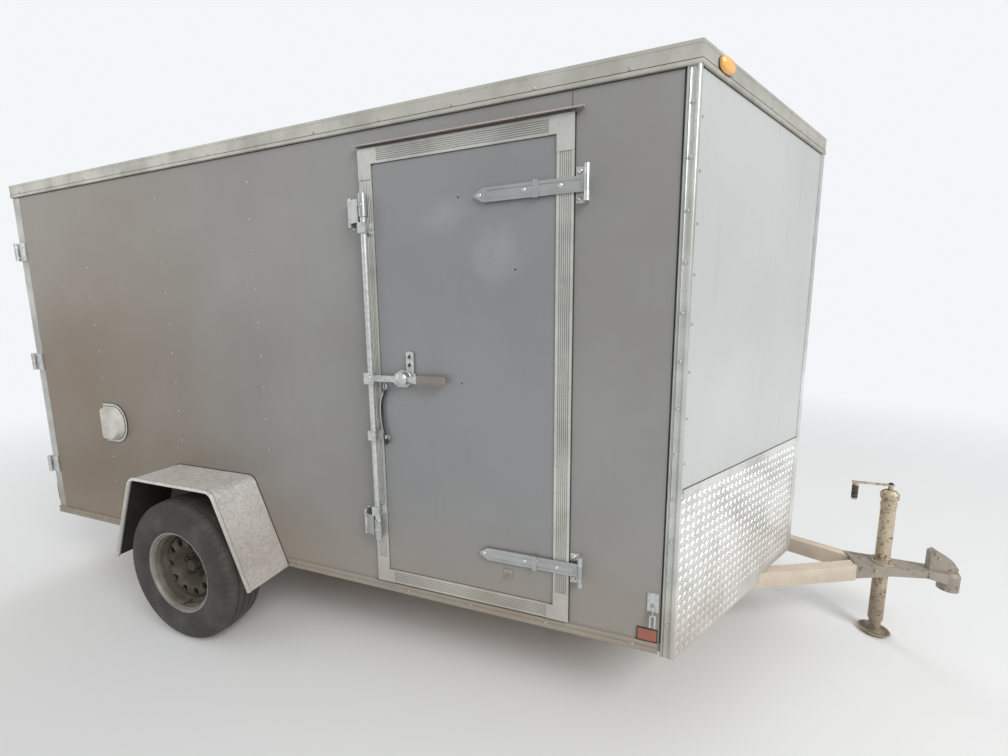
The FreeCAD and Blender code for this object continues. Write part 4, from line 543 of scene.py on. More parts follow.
STEELS = {
    "galvanised": ((0.56, 0.57, 0.56), 0.38, 0.85, 0.12, 1.0, 0.5),
    "strap_metal": ((0.50, 0.515, 0.505), 0.34, 0.85, 0.06),
    "bolt_metal": ((0.66, 0.66, 0.63), 0.3, 0.85, 0.16),
    "screw_metal": ((0.58, 0.57, 0.54), 0.36, 0.85, 0.2),
    "fender_metal": ((0.74, 0.71, 0.67), 0.42, 0.55, 0.16, 2.2, 0.55, 0.55, (0.95, 0.42)),
    "lip_metal": ((0.60, 0.58, 0.54), 0.4, 0.6, 0.25, 2.4),
    "handle_grip": ((0.285, 0.245, 0.215), 0.55, 0.35, 0.14, 2.0),
    "drip_metal": ((0.48, 0.42, 0.375), 0.6, 0.3, 0.25, 1.6),
    "jack_metal": ((0.60, 0.51, 0.37), 0.5, 0.5, 0.42, 2.2, 0.0, 0.8, (0.5, 0.05)),
    "coupler_metal": ((0.40, 0.355, 0.30), 0.55, 0.4, 0.34, 2.0),
    "beam_paint": ((0.78, 0.665, 0.54), 0.62, 0.06, 0.2, 2.6, 0.0, 0.4, (0.45, 0.3)),
    "frame_paint": ((0.085, 0.075, 0.068), 0.6, 0.1, 0.5, 1.0, 0.0, 0.6),
    "axle_paint": ((0.055, 0.05, 0.048), 0.6, 0.1, 0.45, 1.0, 0.0, 0.7, (0.5, 0.1)),
    "hub_metal": ((0.050, 0.039, 0.029), 0.75, 0.1, 0.2, 2.0),
}
for name, values in STEELS.items():
    steel(name, *values)
print("steel finishes:", len(STEELS))

# %% [markdown]
# The wheels carry the most dirt, and they stand in the fender's shade. The rim was painted off-white,
# here toned down as painted shade, and its dished centre is darkened by an olive-brown film of dirt
# and painted shade, so the mask here is the distance from the axle. Tyre rubber is near black
# where it is rubbed and dusty brown-grey elsewhere.

# %% Wheel paint with painted shade, and tyre rubber
axle = {side: (low(f"tyre_{key}") + high(f"tyre_{key}")) / 2 for key, side in SIDES.items()}


def from_axle(work):
    """Distance from the wheels' axle line, in metres."""
    across = work.x - float(axle[-1][0])
    upward = work.z - float(axle[-1][2])
    return (across * across + upward * upward).alone("SQRT")


def wheel_paint():
    work = Finish("wheel_paint")
    cloud = work.noise(11.0, 6, shift=(1, 2, 3))
    # Painted shade: the film and the still darker ring round the axle are partly dirt and partly shade
    # from under the fender, and the off-white itself is toned down for the same shade.
    film_and_shade = (from_axle(work).step(0.1975, 0.176) * 0.85 + cloud.step(0.35, 0.8) * 0.45).least(1.0)
    colour = work.mix(film_and_shade, (0.27, 0.26, 0.225), (0.050, 0.042, 0.025))
    inner = from_axle(work).step(0.095, 0.060)
    colour = work.mix(inner * 0.85, colour, (0.024, 0.019, 0.014))
    chips = work.noise(60.0, 4).step(0.62, 0.7)
    work.surface(work.mix(chips * 0.7, colour, DARK_RUST), film_and_shade * 0.3 + 0.42,
                 cloud + chips * 0.2, 0.0012)


def tyre_rubber():
    work = Finish("tyre_rubber")
    cloud = work.noise(8.0, 6, shift=(3, 3, 0))
    fine = work.noise(140.0, 3)
    dusty = cloud.step(0.4, 0.75) * 0.5 + fine * 0.25 + from_axle(work).step(0.325, 0.355) * 0.3
    work.surface(work.mix(dusty.least(1.0), (0.026, 0.025, 0.025), (0.115, 0.103, 0.085)),
                 dusty * 0.2 + 0.68, fine, 0.0006)


wheel_paint()
tyre_rubber()

# %% [markdown]
# The last finishes are small: plastic for the vents, its white greyed as painted shade, tinted
# lenses, a prismatic reflector, black sealant for the seams, which also makes painted shadow lines,
# and the plywood floor. A lens has no texture to speak of, so its life comes from a clear coat over
# a colour that deepens in patches.


# %% Plastics, lenses, sealant and floor
def plain(name, colour, worn, rough, coat=0.0, grain=60.0):
    work = Finish(name, coat, 0.05)
    cloud = work.noise(14.0, 4, shift=(2, 2, 5))
    work.surface(work.mix(cloud.step(0.35, 0.75), colour, worn), cloud * 0.15 + rough - 0.05,
                 work.noise(grain, 3), 0.0003)


def prismatic(name, colour, deep):
    """Rows of tiny square prisms, as behind the face of a reflector."""
    work = Finish(name, 0.8, 0.08)
    grid = work.cells(260.0, jitter=0.0)
    colour = work.mix(grid.step(0.1, 0.6), colour, deep)
    cloud = work.noise(30.0, 4).step(0.5, 0.8)
    work.surface(work.mix(cloud * 0.5, colour, (0.40, 0.27, 0.21)), 0.25, grid, 0.001, 0.6)


PLAINS = {
    # Painted shade: the vents' white is greyed down because they stand in shade.
    "white_plastic_and_shade": ((0.62, 0.60, 0.55), (0.50, 0.475, 0.42), 0.45, 0.1),
    "amber": ((1.0, 0.56, 0.15), (0.90, 0.40, 0.09), 0.2, 0.9, 200.0),
    "red_lens": ((0.50, 0.025, 0.02), (0.36, 0.015, 0.012), 0.2, 0.9, 200.0),
    "lamp_base": ((0.02, 0.02, 0.02), (0.04, 0.038, 0.035), 0.5),
    # Painted shade: near-black for the fender's underside, road dirt and shade together.
    "undercoat_and_shade": ((0.012, 0.011, 0.010), (0.032, 0.026, 0.019), 0.85),
    # The sealant's black also serves for painted shadow lines.
    "sealant_and_shadow": ((0.018, 0.017, 0.016), (0.05, 0.046, 0.042), 0.7),
}
for name, values in PLAINS.items():
    plain(name, *values)
prismatic("orange_reflector", (0.42, 0.125, 0.060), (0.24, 0.060, 0.032))
wood = Finish("plywood_floor")
wood.surface(plywood_colour(wood), 0.75, wood.noise(60.0, 3, stretch=(0.1, 1, 1)), 0.0008)
print("materials:", len(bpy.data.materials))

# %% [markdown]
# Most CAD nodes already have the right shape, so they only need their finish. A table says which
# nodes each finish goes on, and it also covers nodes that finer pieces below replace.

# %% Give every CAD node its finish
NODES_WITH = {
    "frame_paint": "side_rails crossmembers nose_rail",
    "plywood_floor": "floor_deck",
    "wall_curb": "curb_wall_rear curb_wall_front curb_wall_header door_threshold",
    "wall_road": "road_wall",
    "nose_curb": "nose_wall_curb",
    "nose_road": "nose_wall_road",
    "bright_trim": "nose_post nose_trim",
    "roof_metal": "roof_panel",
    "trim_long": "roof_trim",
    "rail_metal": "rail_trims",
    "trim_cove": "corner_trims",
    "tread_metal": "stone_guard_curb stone_guard_road",
    "beam_paint": "tongue_beam_curb tongue_beam_road",
    "coupler_metal": "coupler coupler_latch",
    "jack_metal": "jack_tube jack_leg jack_crank",
    "axle_paint": "axle_beam leaf_springs spring_mounts",
    "fender_metal": "fender_curb fender_road",
    "galvanised": "hinge_leaves lock_keepers hold_back_hook rear_hinge_leaves rear_keepers lock_bar"
                  " lock_handle rear_straps_curb rear_straps_road rear_bar_curb rear_bar_road",
    "drip_metal": "drip_cap",
    "white_plastic_and_shade": "side_vents",
    "amber": "marker_lamps",
    "orange_reflector": "side_reflectors",
    "trim_tall": "rear_frame",
    "red_lens": "tail_lamps",
    "door_paint": "side_door_panel",
    "frame_metal": "side_door_frame",
    "strap_metal": "strap_hinges",
    "rear_paint": "rear_door_curb rear_door_road",
    "tyre_rubber": "tyre_curb tyre_road",
    "wheel_paint": "rim_curb rim_road",
    "hub_metal": "hub_curb hub_road",
}
finish_of = {node: finish for finish, group in NODES_WITH.items() for node in group.split()}
for name, node in nodes.items():
    node.data.materials.clear()
    node.data.materials.append(look[finish_of[name]])
print("finished", len(nodes), "nodes")

# %% [markdown]
# ## Tyres
# A radial tyre has a bulged sidewall, a very round shoulder and a ribbed tread whose outer ribs are
# cut across. It could be a torus with a bump map, but the tread shows in outline, so the surface is
# computed: a smooth curve through a few section points, turned about the axle, and pressed in where
# a groove runs round it or a slot crosses a rib. The section is the same as the CAD tyre's.

# %% A smooth curve through a few points
def curve(points, steps):
    """A Catmull-Rom curve: between two points it blends them with the slopes across each point,
    b + t (c - a)/2 + t^2 (2a - 5b + 4c - d)/2 + t^3 (3b - a - 3c + d)/2, in equal steps of t."""
    points = np.asarray(points, float)
    padded = np.vstack([2 * points[0] - points[1], points, 2 * points[-1] - points[-2]])
    a, b, c, d = padded[:-3], padded[1:-2], padded[2:-1], padded[3:]
    t = np.linspace(0, 1, steps, endpoint=False)[None, :, None]
    a, b, c, d = (part[:, None, :] for part in (a, b, c, d))
    run = (b + t * (c - a) / 2 + t ** 2 * (2 * a - 5 * b + 4 * c - d) / 2
           + t ** 3 * (3 * b - a - 3 * c + d) / 2)
    return np.vstack([run.reshape(-1, points.shape[1]), points[-1:]])


# %% The tyre's section, its grooves and its slots
tyre_radius = float(high("tyre_curb")[2] - axle[-1][2])
tyre_half = float(high("tyre_curb")[1] - low("tyre_curb")[1]) / 2
BEAD_RADIUS = 0.190
TREAD_GROOVES = (-0.047, -0.016, 0.016, 0.047)
GROOVE_HALF, GROOVE_DEPTH = 0.0042, 0.0065
OUTER_SLOT_DEPTH, INNER_SLOT_DEPTH, RING_DEPTH = 0.0045, 0.0025, 0.0009
SLOTS, STEPS_A_SLOT = 66, 5


def tyre_section():
    """Points (radius, across) from one bead over the crown to the other, dense at the grooves."""
    rise = tyre_radius - BEAD_RADIUS
    wall = curve([(0, 0.70), (0.10, 0.86), (0.24, 0.955), (0.42, 1.0), (0.62, 0.985),
                  (0.80, 0.90), (0.91, 0.775), (0.965, 0.655)], 6)
    sides = np.column_stack([BEAD_RADIUS + rise * wall[:, 0], tyre_half * wall[:, 1]])
    edge = sides[-1, 1]
    crown = [edge]
    for middle in reversed(TREAD_GROOVES):
        crown += [middle + GROOVE_HALF * share for share in (1, 0.6, -0.6, -1)]
    crown = np.array([*crown[1:], -edge])[:-1]
    arch = tyre_radius - (tyre_radius - sides[-1, 0]) * (crown / edge) ** 2
    crown = np.column_stack([arch, crown])
    return np.vstack([sides, crown, sides[::-1] * [1, -1]])


def tyre_surface(side):
    """The section turned about the axle: x = r cos a, z = r sin a, with r pressed in by grooves,
    by slots across the outer ribs and by fine rings moulded into the shoulder."""
    section = tyre_section()
    radius, across = section[:, 0][None, :], section[:, 1][None, :]
    count = SLOTS * STEPS_A_SLOT
    turn = np.arange(count)[:, None]
    angle = turn * 2 * np.pi / count
    groove = np.zeros_like(across)
    for middle in TREAD_GROOVES:
        groove = np.maximum(groove, (np.abs(across - middle) < GROOVE_HALF * 0.7))
    slot = ((turn % STEPS_A_SLOT) == 0) & (np.abs(across) > 0.055) & (radius > tyre_radius - 0.034)
    offset_slot = ((turn % STEPS_A_SLOT) == 2) & (np.abs(across) < 0.045) & (np.abs(across) > 0.018)
    depth = (GROOVE_DEPTH * groove + OUTER_SLOT_DEPTH * slot
             + INNER_SLOT_DEPTH * offset_slot * (1 - groove))
    rings = (radius > tyre_radius - 0.062) & (radius < tyre_radius - 0.026)
    depth = depth + RING_DEPTH * rings * (np.arange(len(section))[None, :] % 2)
    radius = radius - depth
    grid = np.stack([radius * np.cos(angle), np.broadcast_to(across, radius.shape),
                     radius * np.sin(angle)], -1)
    points, faces = lattice(grid, wrap_u=True, wrap_v=True)
    return points + axle[side], faces


pair(("tyre_tread", tyre_surface, "tyre_rubber", "tyre", "tyre_"), body="wheel_")

# %% [markdown]
# ## Tread plate
# The lower nose is covered by bright tread plate: raised lozenges in two alternating directions,
# about 36 mm from one to the next of the same direction. A bump could carry them, but each one
# catches its own light, so they are real: one lozenge with a ridge, copied to a staggered grid.

# %% Raised lozenges on the stone guards
GUARD_PITCH = 0.036
LOZENGE_LONG, LOZENGE_WIDE, LOZENGE_RISE = 0.0158, 0.0042, 0.0021
GUARD_OUT = 0.004
GUARD_NOTCH, NOTCH_RISE = 0.50, 0.052
FOLD_AT, FOLD_HALF = 0.0135, 0.0072
guard_low = low("stone_guard_curb")[2]
guard_top = base_z + 0.601


def lozenge(turn):
    """A pointed bar about the origin in x and y, its ridge raised in z, turned by an angle."""
    share = np.array([-1, -0.62, 0.62, 1])
    wide = np.array([0.12, 1, 1, 0.12])
    rim = np.column_stack([np.r_[share, share[::-1]] * LOZENGE_LONG,
                           np.r_[-wide, wide[::-1]] * LOZENGE_WIDE, np.zeros(8)])
    ridge = rim * [0.86, 0.42, 0] + [0, 0, LOZENGE_RISE]
    cosine, sine = np.cos(turn), np.sin(turn)
    spin = np.array([[cosine, sine, 0], [-sine, cosine, 0], [0, 0, 1]])
    ring = [[i, (i + 1) % 8, 8 + (i + 1) % 8, 8 + i] for i in range(8)]
    return np.vstack([rim, ridge]) @ spin, ring + [list(range(8, 16))]


def tread_plate(side):
    """Lozenges at every crossing of a square grid, the other direction halfway between, and the
    plain fold where the plate turns on to the corner."""
    run, up, out = nose_frame(side)
    shapes = []
    for turn, shift in ((np.pi / 4, 0.0), (-np.pi / 4, 0.5)):
        along = np.arange(0.024 + shift * GUARD_PITCH, nose_length - 0.030, GUARD_PITCH)
        rise = np.arange(guard_low + 0.014 + shift * GUARD_PITCH, guard_top - 0.030, GUARD_PITCH)
        along, rise = (grid.ravel() for grid in np.meshgrid(along, rise))
        clear = (rise > base_z + NOTCH_RISE) | (along < GUARD_NOTCH)
        places = on_nose(along[clear], rise[clear], GUARD_OUT, side)
        shapes.append(repeated(lozenge(turn if side < 0 else -turn), places, (run, up, out)))
    fold = block((0, -FOLD_HALF, 0), (float(guard_top - guard_low), FOLD_HALF, GUARD_OUT))
    shapes.append(placed(fold, on_nose(FOLD_AT, guard_low, 0.0, side), (up, np.cross(out, up), out)))
    return merged(*shapes)


pair(("tread_bars", tread_plate, "tread_metal", "tread_plate"))

# %% [markdown]
# ## Screws, seams and edges of the body
# The sheets are held by hundreds of small screws: a column at every stud and a row along every trim.
# Each is a few millimetres across, so a bump would do from afar, but close by a real head catches
# light on its rim. One head is turned from a profile and copied to a table of places.

# %% Heads of screws and bolts
def facing(out):
    """Axes whose z looks outwards and whose y is upwards, for things fixed to a surface."""
    return np.array([np.cross((0, 0, 1), out), (0, 0, 1), out], float)


def screw_head(radius, height, sides=12):
    """A pan head on a thin washer, with a small round recess for the driver."""
    profile = [(1.0, 0.0), (0.98, 0.25), (0.72, 0.3), (0.66, 0.78), (0.46, 1.0), (0.2, 1.0),
               (0.16, 0.6)]
    return lathe([(radius * share, height * rise) for share, rise in profile], sides)


def hex_head(radius, height):
    """A round washer with a six-sided head on it, its top edge turned down."""
    washer = lathe([(radius * 1.25, 0), (radius * 1.25, height * 0.25), (radius, height * 0.25)], 16)
    head = lathe([(radius, height * 0.2), (radius, height * 0.85), (radius * 0.88, height)], 6)
    return merged(washer, head)


def carriage_head(radius, height, sides=16):
    """A smooth dome: radius r cos t and height h sin t for t from 0 to a right angle."""
    turn = np.linspace(0, np.pi / 2 - 0.12, 5)
    return lathe(np.column_stack([radius * np.cos(turn), height * np.sin(turn)]), sides)


def fixed_at(shape, places, out):
    """Copies of a head at places on one flat surface that looks outwards."""
    return repeated(shape, places, facing(out))


wall_screw = screw_head(0.0052, 0.0028)
trim_screw = screw_head(0.0068, 0.0038)
print("faces in a screw:", len(trim_screw[1]))

# %% [markdown]
# Columns of wall screws stand two feet apart, where the studs are, and the screws of a column are
# six inches apart. The sizes are read from the photo, and the far side, which it doesn't show, gets
# the same columns.

# %% Screws in the side walls
STUD_PITCH, STUDS = 2 * FOOT, 6
SCREW_PITCH = FOOT / 2
DOOR_MARGIN = 0.06
first_stud = front_x - 3.040
first_screw = base_z + 0.125
wall_rows = np.arange(first_screw, roof_trim_z - 0.05, SCREW_PITCH)
door_back, door_front = low("side_door_frame")[0], high("side_door_frame")[0]
vent_low, vent_high = low("side_vents"), high("side_vents")
fender_low, fender_high = low("fender_curb"), high("fender_curb")
scatter = np.random.default_rng(12)


def wall_screws(side):
    """Every crossing of a stud and a row, but for the door, the vent and the fender."""
    across, level = np.meshgrid(first_stud + STUD_PITCH * np.arange(STUDS), wall_rows)
    across, level = across.ravel(), level.ravel()
    keep = across < front_x - 0.1
    keep &= ~((across > vent_low[0]) & (across < vent_high[0])
              & (level > vent_low[2]) & (level < vent_high[2]))
    keep &= ~((across > fender_low[0]) & (across < fender_high[0]) & (level < fender_high[2]))
    if side < 0:
        keep &= (across < door_back - DOOR_MARGIN) | (across > door_front + DOOR_MARGIN)
    places = points_at(across[keep], side * half, level[keep])
    places[:, [0, 2]] += scatter.normal(0, 0.003, (len(places), 2))
    return fixed_at(wall_screw, places, (0, side, 0))


pair(("wall_screws", wall_screws, "screw_metal", "zinc"))

# %% [markdown]
# The trims have their own rows: about a foot apart in the roof trim and the rails, and about six
# inches in the corner coves and beside them on the nose.

# %% Screws in the trims
COVE_PITCH = 0.1555
roof_row = roof_trim_z + 0.022
rail_row = (base_z + rail_top) / 2
cove_back = front_x - 0.037
cove_place = front_x - 0.0180
cove_face = half + 0.0030
cove_rows = np.arange(roof_trim_z - 0.10, base_z + 0.01, -COVE_PITCH)


def row_along(start, end, sway):
    """Places a foot apart from start to end, each one a little off its own."""
    places = np.arange(start, end, FOOT)
    return places + scatter.normal(0, sway, len(places))


def trim_screws(side):
    """Rows of screws along the roof trim, the rail, the corner cove and the nose of one side."""
    away = nose_frame(side)[2]
    roof = points_at(row_along(rear_x + 0.10, front_x - 0.05, 0.008), side * trim_face, roof_row)
    rail = row_along(rear_x + 0.16, cove_back - 0.02, 0.008)
    rail = rail[(rail < fender_low[0] - 0.03) | (rail > fender_high[0] + 0.03)]
    rail = points_at(rail, side * (rail_face - 0.004), rail_row)
    cove = points_at(cove_place, side * cove_face, cove_rows)
    by_cove = on_nose(0.024, cove_rows - 0.035, 0.0, side)
    on_trim = on_nose(row_along(0.18, nose_length - 0.1, 0.006), roof_row, trim_face - half, side)
    return merged(*(fixed_at(trim_screw, row, (0, side, 0)) for row in (roof, rail, cove)),
                  *(fixed_at(wall_screw, row, away) for row in (by_cove, on_trim)))


pair(("trim_screws", trim_screws, "screw_metal", "zinc"))

# %% [markdown]
# Where a trim laps over a sheet there is a thin dark line: a shadow gap with sealant in it, drawn
# here as one dark ribbon of sealant and painted shadow. The one behind each corner trim is the
# boldest, and those under the roof trim are painted shadow. These lines are narrow ribbons that stand
# a fraction of a millimetre off the sheet, each given by its two ends, its width and the way it looks.

# %% Sealant and painted shadow lines
GAP = 0.0014
BAND_DROP = 0.0345
guard_strip_top = high("stone_guard_curb")[2]


def ribbon(start, end, width, out, thick=0.0006):
    """A thin straight strip from start to end, of that width, raised a little outwards."""
    start, end, out = (np.asarray(part, float) for part in (start, end, out))
    length = np.linalg.norm(end - start)
    along = (end - start) / length
    strip = block((0, -width / 2, 0), (length, width / 2, thick))
    return placed(strip, start, np.array([along, np.cross(out, along), out]))


def sealant_and_shadow_lines(side):
    """The dark lines of sealant and painted shadow on one side: behind the corner and under the roof
    trim, and then on the nose under the trim, up the fold and at both edges of the band over the tread
    plate. Those under the roof trim are painted shadow."""
    wall, under_trim, guard_end = side * half, roof_trim_z - GAP, nose_length - 0.025
    on_wall = [((cove_back - 0.0022, rail_top), (cove_back - 0.0022, roof_trim_z), 0.0055),
               ((rear_x + 0.02, under_trim), (front_x, under_trim), 0.003)]
    band_low = guard_strip_top - BAND_DROP
    nose_lines = [((0.0, under_trim), (nose_length, under_trim), 0.0, 0.003),
                  ((0.0070, guard_top + 0.02), (0.0070, roof_trim_z), 0.0, 0.002),
                  ((0.02, guard_strip_top + 0.001), (guard_end, guard_strip_top + 0.001), 0.0, 0.0018),
                  ((0.008, band_low), (guard_end, band_low), GUARD_OUT, 0.0016)]
    return merged(*(ribbon((a[0], wall, a[1]), (b[0], wall, b[1]), width, (0, side, 0))
                    for a, b, width in on_wall),
                  *(ribbon(on_nose(*a, out, side), on_nose(*b, out, side), width,
                           nose_frame(side)[2]) for a, b, out, width in nose_lines))


pair(("sealant_and_shadow", sealant_and_shadow_lines, "sealant_and_shadow", None))

# %% [markdown]
# The side sheets meet in straight vertical joints: one sheet laps the next by an inch, and a thin
# shadow marks its edge, drawn here as a dark strip of painted shadow. In the photo one shows above the
# door's front corner.

# %% Painted shadows at the sheet joints
joint_line = door_front - 0.010


def sheet_joint_shadows(side):
    """A thin dark strip at the sheets' joint, a painted shadow of the lapped edge, above the rain strip
    on the door's side.
    """
    bottom = high("drip_cap")[2] if side < 0 else rail_top
    return ribbon((joint_line, side * half, bottom), (joint_line, side * half, roof_trim_z - 0.002),
                  0.0016, (0, side, 0), 0.0008)


pair(("sheet_joint_shadows", sheet_joint_shadows, "sealant_and_shadow", None))

# %% [markdown]
# The roof trim isn't a plain flat: it has a raised bead along its lower edge, with a painted shadow
# line over it, and a small bead at the top. The low bead is what shines as a light line round the roof
# in the photo. Its profile is carried along the plan of the body, mitred at each corner.

# %% Beads of the roof trim
def carried(profile, path):
    """Carry a profile of (out, up) points along a level path, mitred at its corners: at each point
    the outward direction is the mean of its neighbours', lengthened by 1 / cos(half the turn)."""
    step = np.diff(path[:, :2], axis=0)
    sides = [np.vstack([step[:1], step]), np.vstack([step, step[-1:]])]
    normals = [np.column_stack([part[:, 1], -part[:, 0]]) / np.linalg.norm(part, axis=1)[:, None]
               for part in sides]
    mean = normals[0] + normals[1]
    mean *= (2 / (mean ** 2).sum(1))[:, None]
    profile = np.asarray(profile, float)
    grid = np.zeros((len(path), len(profile), 3))
    grid[..., :2] = path[:, None, :2] + profile[None, :, :1] * mean[:, None]
    grid[..., 2] = path[:, None, 2] + profile[None, :, 1]
    return with_ends(*lattice(grid, wrap_v=True), len(profile))


def body_edge(out, level):
    """The plan of the body from its curb-side rear corner round the nose, moved out."""
    corner_out = (front_x + out * (nose_length - nose_run[0]) / nose_run[1], -half - out)
    tip = (nose_tip + out, -(nose_flat + out * (nose_length - nose_run[1]) / nose_run[0]))
    curb = np.array([(rear_x, -half - out), corner_out, tip])
    plan = np.vstack([curb, (curb * [1, -1])[::-1]])
    return points_at(plan[:, 0], plan[:, 1], level)


def half_round(height, proud, count=6):
    """A bead's profile: out = p sin t and up = h/2 (1 - cos t), t from 0 to half a turn."""
    turn = np.linspace(0, np.pi, count)
    curved = np.column_stack([proud * np.sin(turn), height / 2 * (1 - np.cos(turn))])
    return np.vstack([curved, [(-0.001, height), (-0.001, 0)]])


trim_out = trim_face - half
low_bead = carried(half_round(0.013, 0.0025), body_edge(trim_out, roof_trim_z + 0.0005))
top_bead = carried(half_round(0.005, 0.0012), body_edge(trim_out, roof_z - 0.012))
piece("roof_trim_beads", merged(low_bead, top_bead), "trim_long")
# A painted shadow: a thin dark strip over the low bead.
shadow_line = [(0, 0), (0.0004, 0), (0.0004, 0.0016), (0, 0.0016)]
shadow = carried(shadow_line, body_edge(trim_out, roof_trim_z + 0.0145))
piece("roof_trim_shadow", shadow, "sealant_and_shadow")

# %% [markdown]
# The bright trim on the nose's tip has scalloped edges, and the tread plate ends beside it in a plain
# flat band. The band is a ribbon on the nose panel, and the scallops are a row of half discs.

# %% Nose edges
SCALLOP, SCALLOP_PITCH = 0.006, 0.0135
EDGE_THICK = 0.0012


def nose_edges(side):
    """The flat band beside the tip and, on the trim, a row of half discs along its edge."""
    run, up, away = nose_frame(side)
    tip_edge = nose_length - 0.026
    levels = (base_z + 0.05, guard_top - 0.022)
    band = ribbon(*(on_nose(tip_edge - 0.010, level, GUARD_OUT, side) for level in levels), 0.018,
                  away, EDGE_THICK)
    turn = np.linspace(0, np.pi, 7)
    disc = slab(np.column_stack([-SCALLOP * np.sin(turn), SCALLOP * np.cos(turn)]), EDGE_THICK)
    levels = np.arange(guard_top + 0.03, roof_trim_z - 0.01, SCALLOP_PITCH)
    scallops = repeated(disc, on_nose(tip_edge + 0.001, levels, 0.0, side), (run, -side * up, away))
    return merged(band, scallops)


pair(("nose_edges", nose_edges, "bright_trim", "trim"))

# %% [markdown]
# ## Front corners
# The trim on each front corner is an extrusion with a hollow face: a ridge, a dark groove, a cove
# that holds the screws, and a second ridge right on the corner. The CAD trim is a little wider and
# simpler, so a finer section, pushed up the same height, stands for it. The tread plate then has to
# reach on to the new trim's edge.

# %% Corner coves
def corner_cove(side):
    """A plan outline (distance back from the corner, distance out) pushed up as a slab. The cove is
    an arc, out = e - d sin t, between the groove and the corner ridge."""
    turn = np.linspace(0, np.pi, 7)
    cove = np.column_stack([0.0265 - 0.0085 * (1 - np.cos(turn)), 0.0042 - 0.0016 * np.sin(turn)])
    section = np.vstack([[(0.037, 0), (0.037, 0.0046), (0.0355, 0.0066), (0.0325, 0.0068),
                          (0.0310, 0.0052), (0.0302, 0.0012), (0.0280, 0.0012)], cove,
                         [(0.0085, 0.0062), (0.0060, 0.0079), (0.0015, 0.0080), (-0.0010, 0.0066)]])
    plan = np.column_stack([front_x - section[:, 0], side * (half + section[:, 1])])
    leg = np.vstack([on_nose(0.0045, 0, 0.0050, side), on_nose(0.0062, 0, 0.0, side)])[:, :2]
    plan = np.vstack([plan, leg, [(front_x, side * half)]])
    points, faces = slab(plan, high("corner_trims")[2] - low("corner_trims")[2])
    return points + [0, 0, low("corner_trims")[2]], faces


piece("corner_coves", merged(*(corner_cove(side) for side in SIDES.values())), "trim_cove",
      stands_for=["corner_trims"])


# %% [markdown]
# The marker lamps by the front corners have small domed lenses with upright ribs inside. The dome
# is a superellipse: its outline is |u|^n + |v|^n = 1, and its height falls off the same way.

# %% Marker lamps
LENS_LONG, LENS_TALL, LENS_OUT = 0.082, 0.042, 0.0185
LENS_SIDES = 48
RIB_STEP, RIB_HIGH = 0.0058, 0.0006
lamp_z = (low("marker_lamps")[2] + high("marker_lamps")[2]) / 2


def dome(rounds=14):
    """Rings from the foot to the crown, with ribs cos(k u) pressed into the crown."""
    share = np.linspace(1, 0.02, rounds)[:, None]
    turn = np.linspace(0, 2 * np.pi, LENS_SIDES, endpoint=False)[None, :]
    across = np.sign(np.cos(turn)) * np.abs(np.cos(turn)) ** 0.72 * share
    upward = np.sign(np.sin(turn)) * np.abs(np.sin(turn)) ** 0.80 * share
    height = np.where(share > 0.999, 0.55, 0.55 + 0.45 * (1 - share ** 4.0) ** 0.6)
    rib = RIB_HIGH * np.cos(across * LENS_LONG / 2 * 2 * np.pi / RIB_STEP) * (share < 0.85)
    rings = np.stack([across * LENS_LONG / 2, upward * LENS_TALL / 2, height * LENS_OUT + rib], -1)
    points, faces = lattice(np.concatenate([rings[:1] * [1, 1, 0], rings]), wrap_v=True)
    return points, faces + [list(range(len(points) - LENS_SIDES, len(points)))]


def on_trim(shape):
    """A lamp's part on each side of the nose, on the roof trim."""
    return merged(*(placed(shape, on_nose(0.128, lamp_z, trim_out, side), nose_frame(side))
                    for side in SIDES.values()))


foot_points, foot_faces = dome(2)
piece("marker_lenses", on_trim(dome()), "amber", stands_for=["marker_lamps"])
piece("marker_feet", on_trim((foot_points * [1.05, 1.08, 0.30], foot_faces)), "lamp_base")

# %% [markdown]
# ## The side door
# The door hangs on two long pointed straps and is locked by a tube that runs its whole height. The
# photo shows this gear close by, so its bolts, collars and loops are drawn as they are there. All of
# it that moves with the door rides on the door's body.

# %% Bolts of the hinges
hinge_levels = (base_z + 0.270, base_z + 1.628)
flange_face = -low("side_door_frame")[1] - 0.002
skin_face = half + 0.009
curb_out = (0, -1, 0)
STRAP_BOLTS = ((0.497, 0.0058), (0.664, 0.0118), (0.790, 0.0118))
LEAF_X, LEAF_DROP = 0.8515, 0.042
RIVETS = [(0.411, 2.007), (0.629, 1.739), (0.411, 1.321)]
strap_bolt = carriage_head(0.0085, 0.0045)
leaf_bolt = carriage_head(0.0095, 0.0055)


def on_curb(points, out):
    """Turn (x, z) pairs into points that far out from the trailer's middle on the curb side."""
    points = np.atleast_2d(np.asarray(points, float))
    return points_at(points[:, 0], -out, points[:, 1])


def on_door(head, places, out):
    """Copies of a head at (x, z) places on the door or beside it, that far out."""
    return fixed_at(head, on_curb(places, out), curb_out)


strap_bolts = [on_door(strap_bolt, [(x, z) for z in hinge_levels], flange_face + out)
               for x, out in STRAP_BOLTS]
piece("strap_bolts", merged(*strap_bolts), "bolt_metal", "side_door")
leaf_places = [(LEAF_X, z + drop) for z in hinge_levels for drop in (-LEAF_DROP, LEAF_DROP)]
piece("leaf_bolts", on_door(leaf_bolt, leaf_places, half + 0.005), "bolt_metal")
piece("door_rivets", on_door(carriage_head(0.0036, 0.0018, 10), RIVETS, skin_face), "sealant_and_shadow",
      "side_door")


# %% [markdown]
# A thin black line all round the door frame is painted shadow at the frame's edge, and a second one,
# where the skin meets the frame, is a black rubber seal. A rectangle of four ribbons does for both,
# and for the bezels further on.

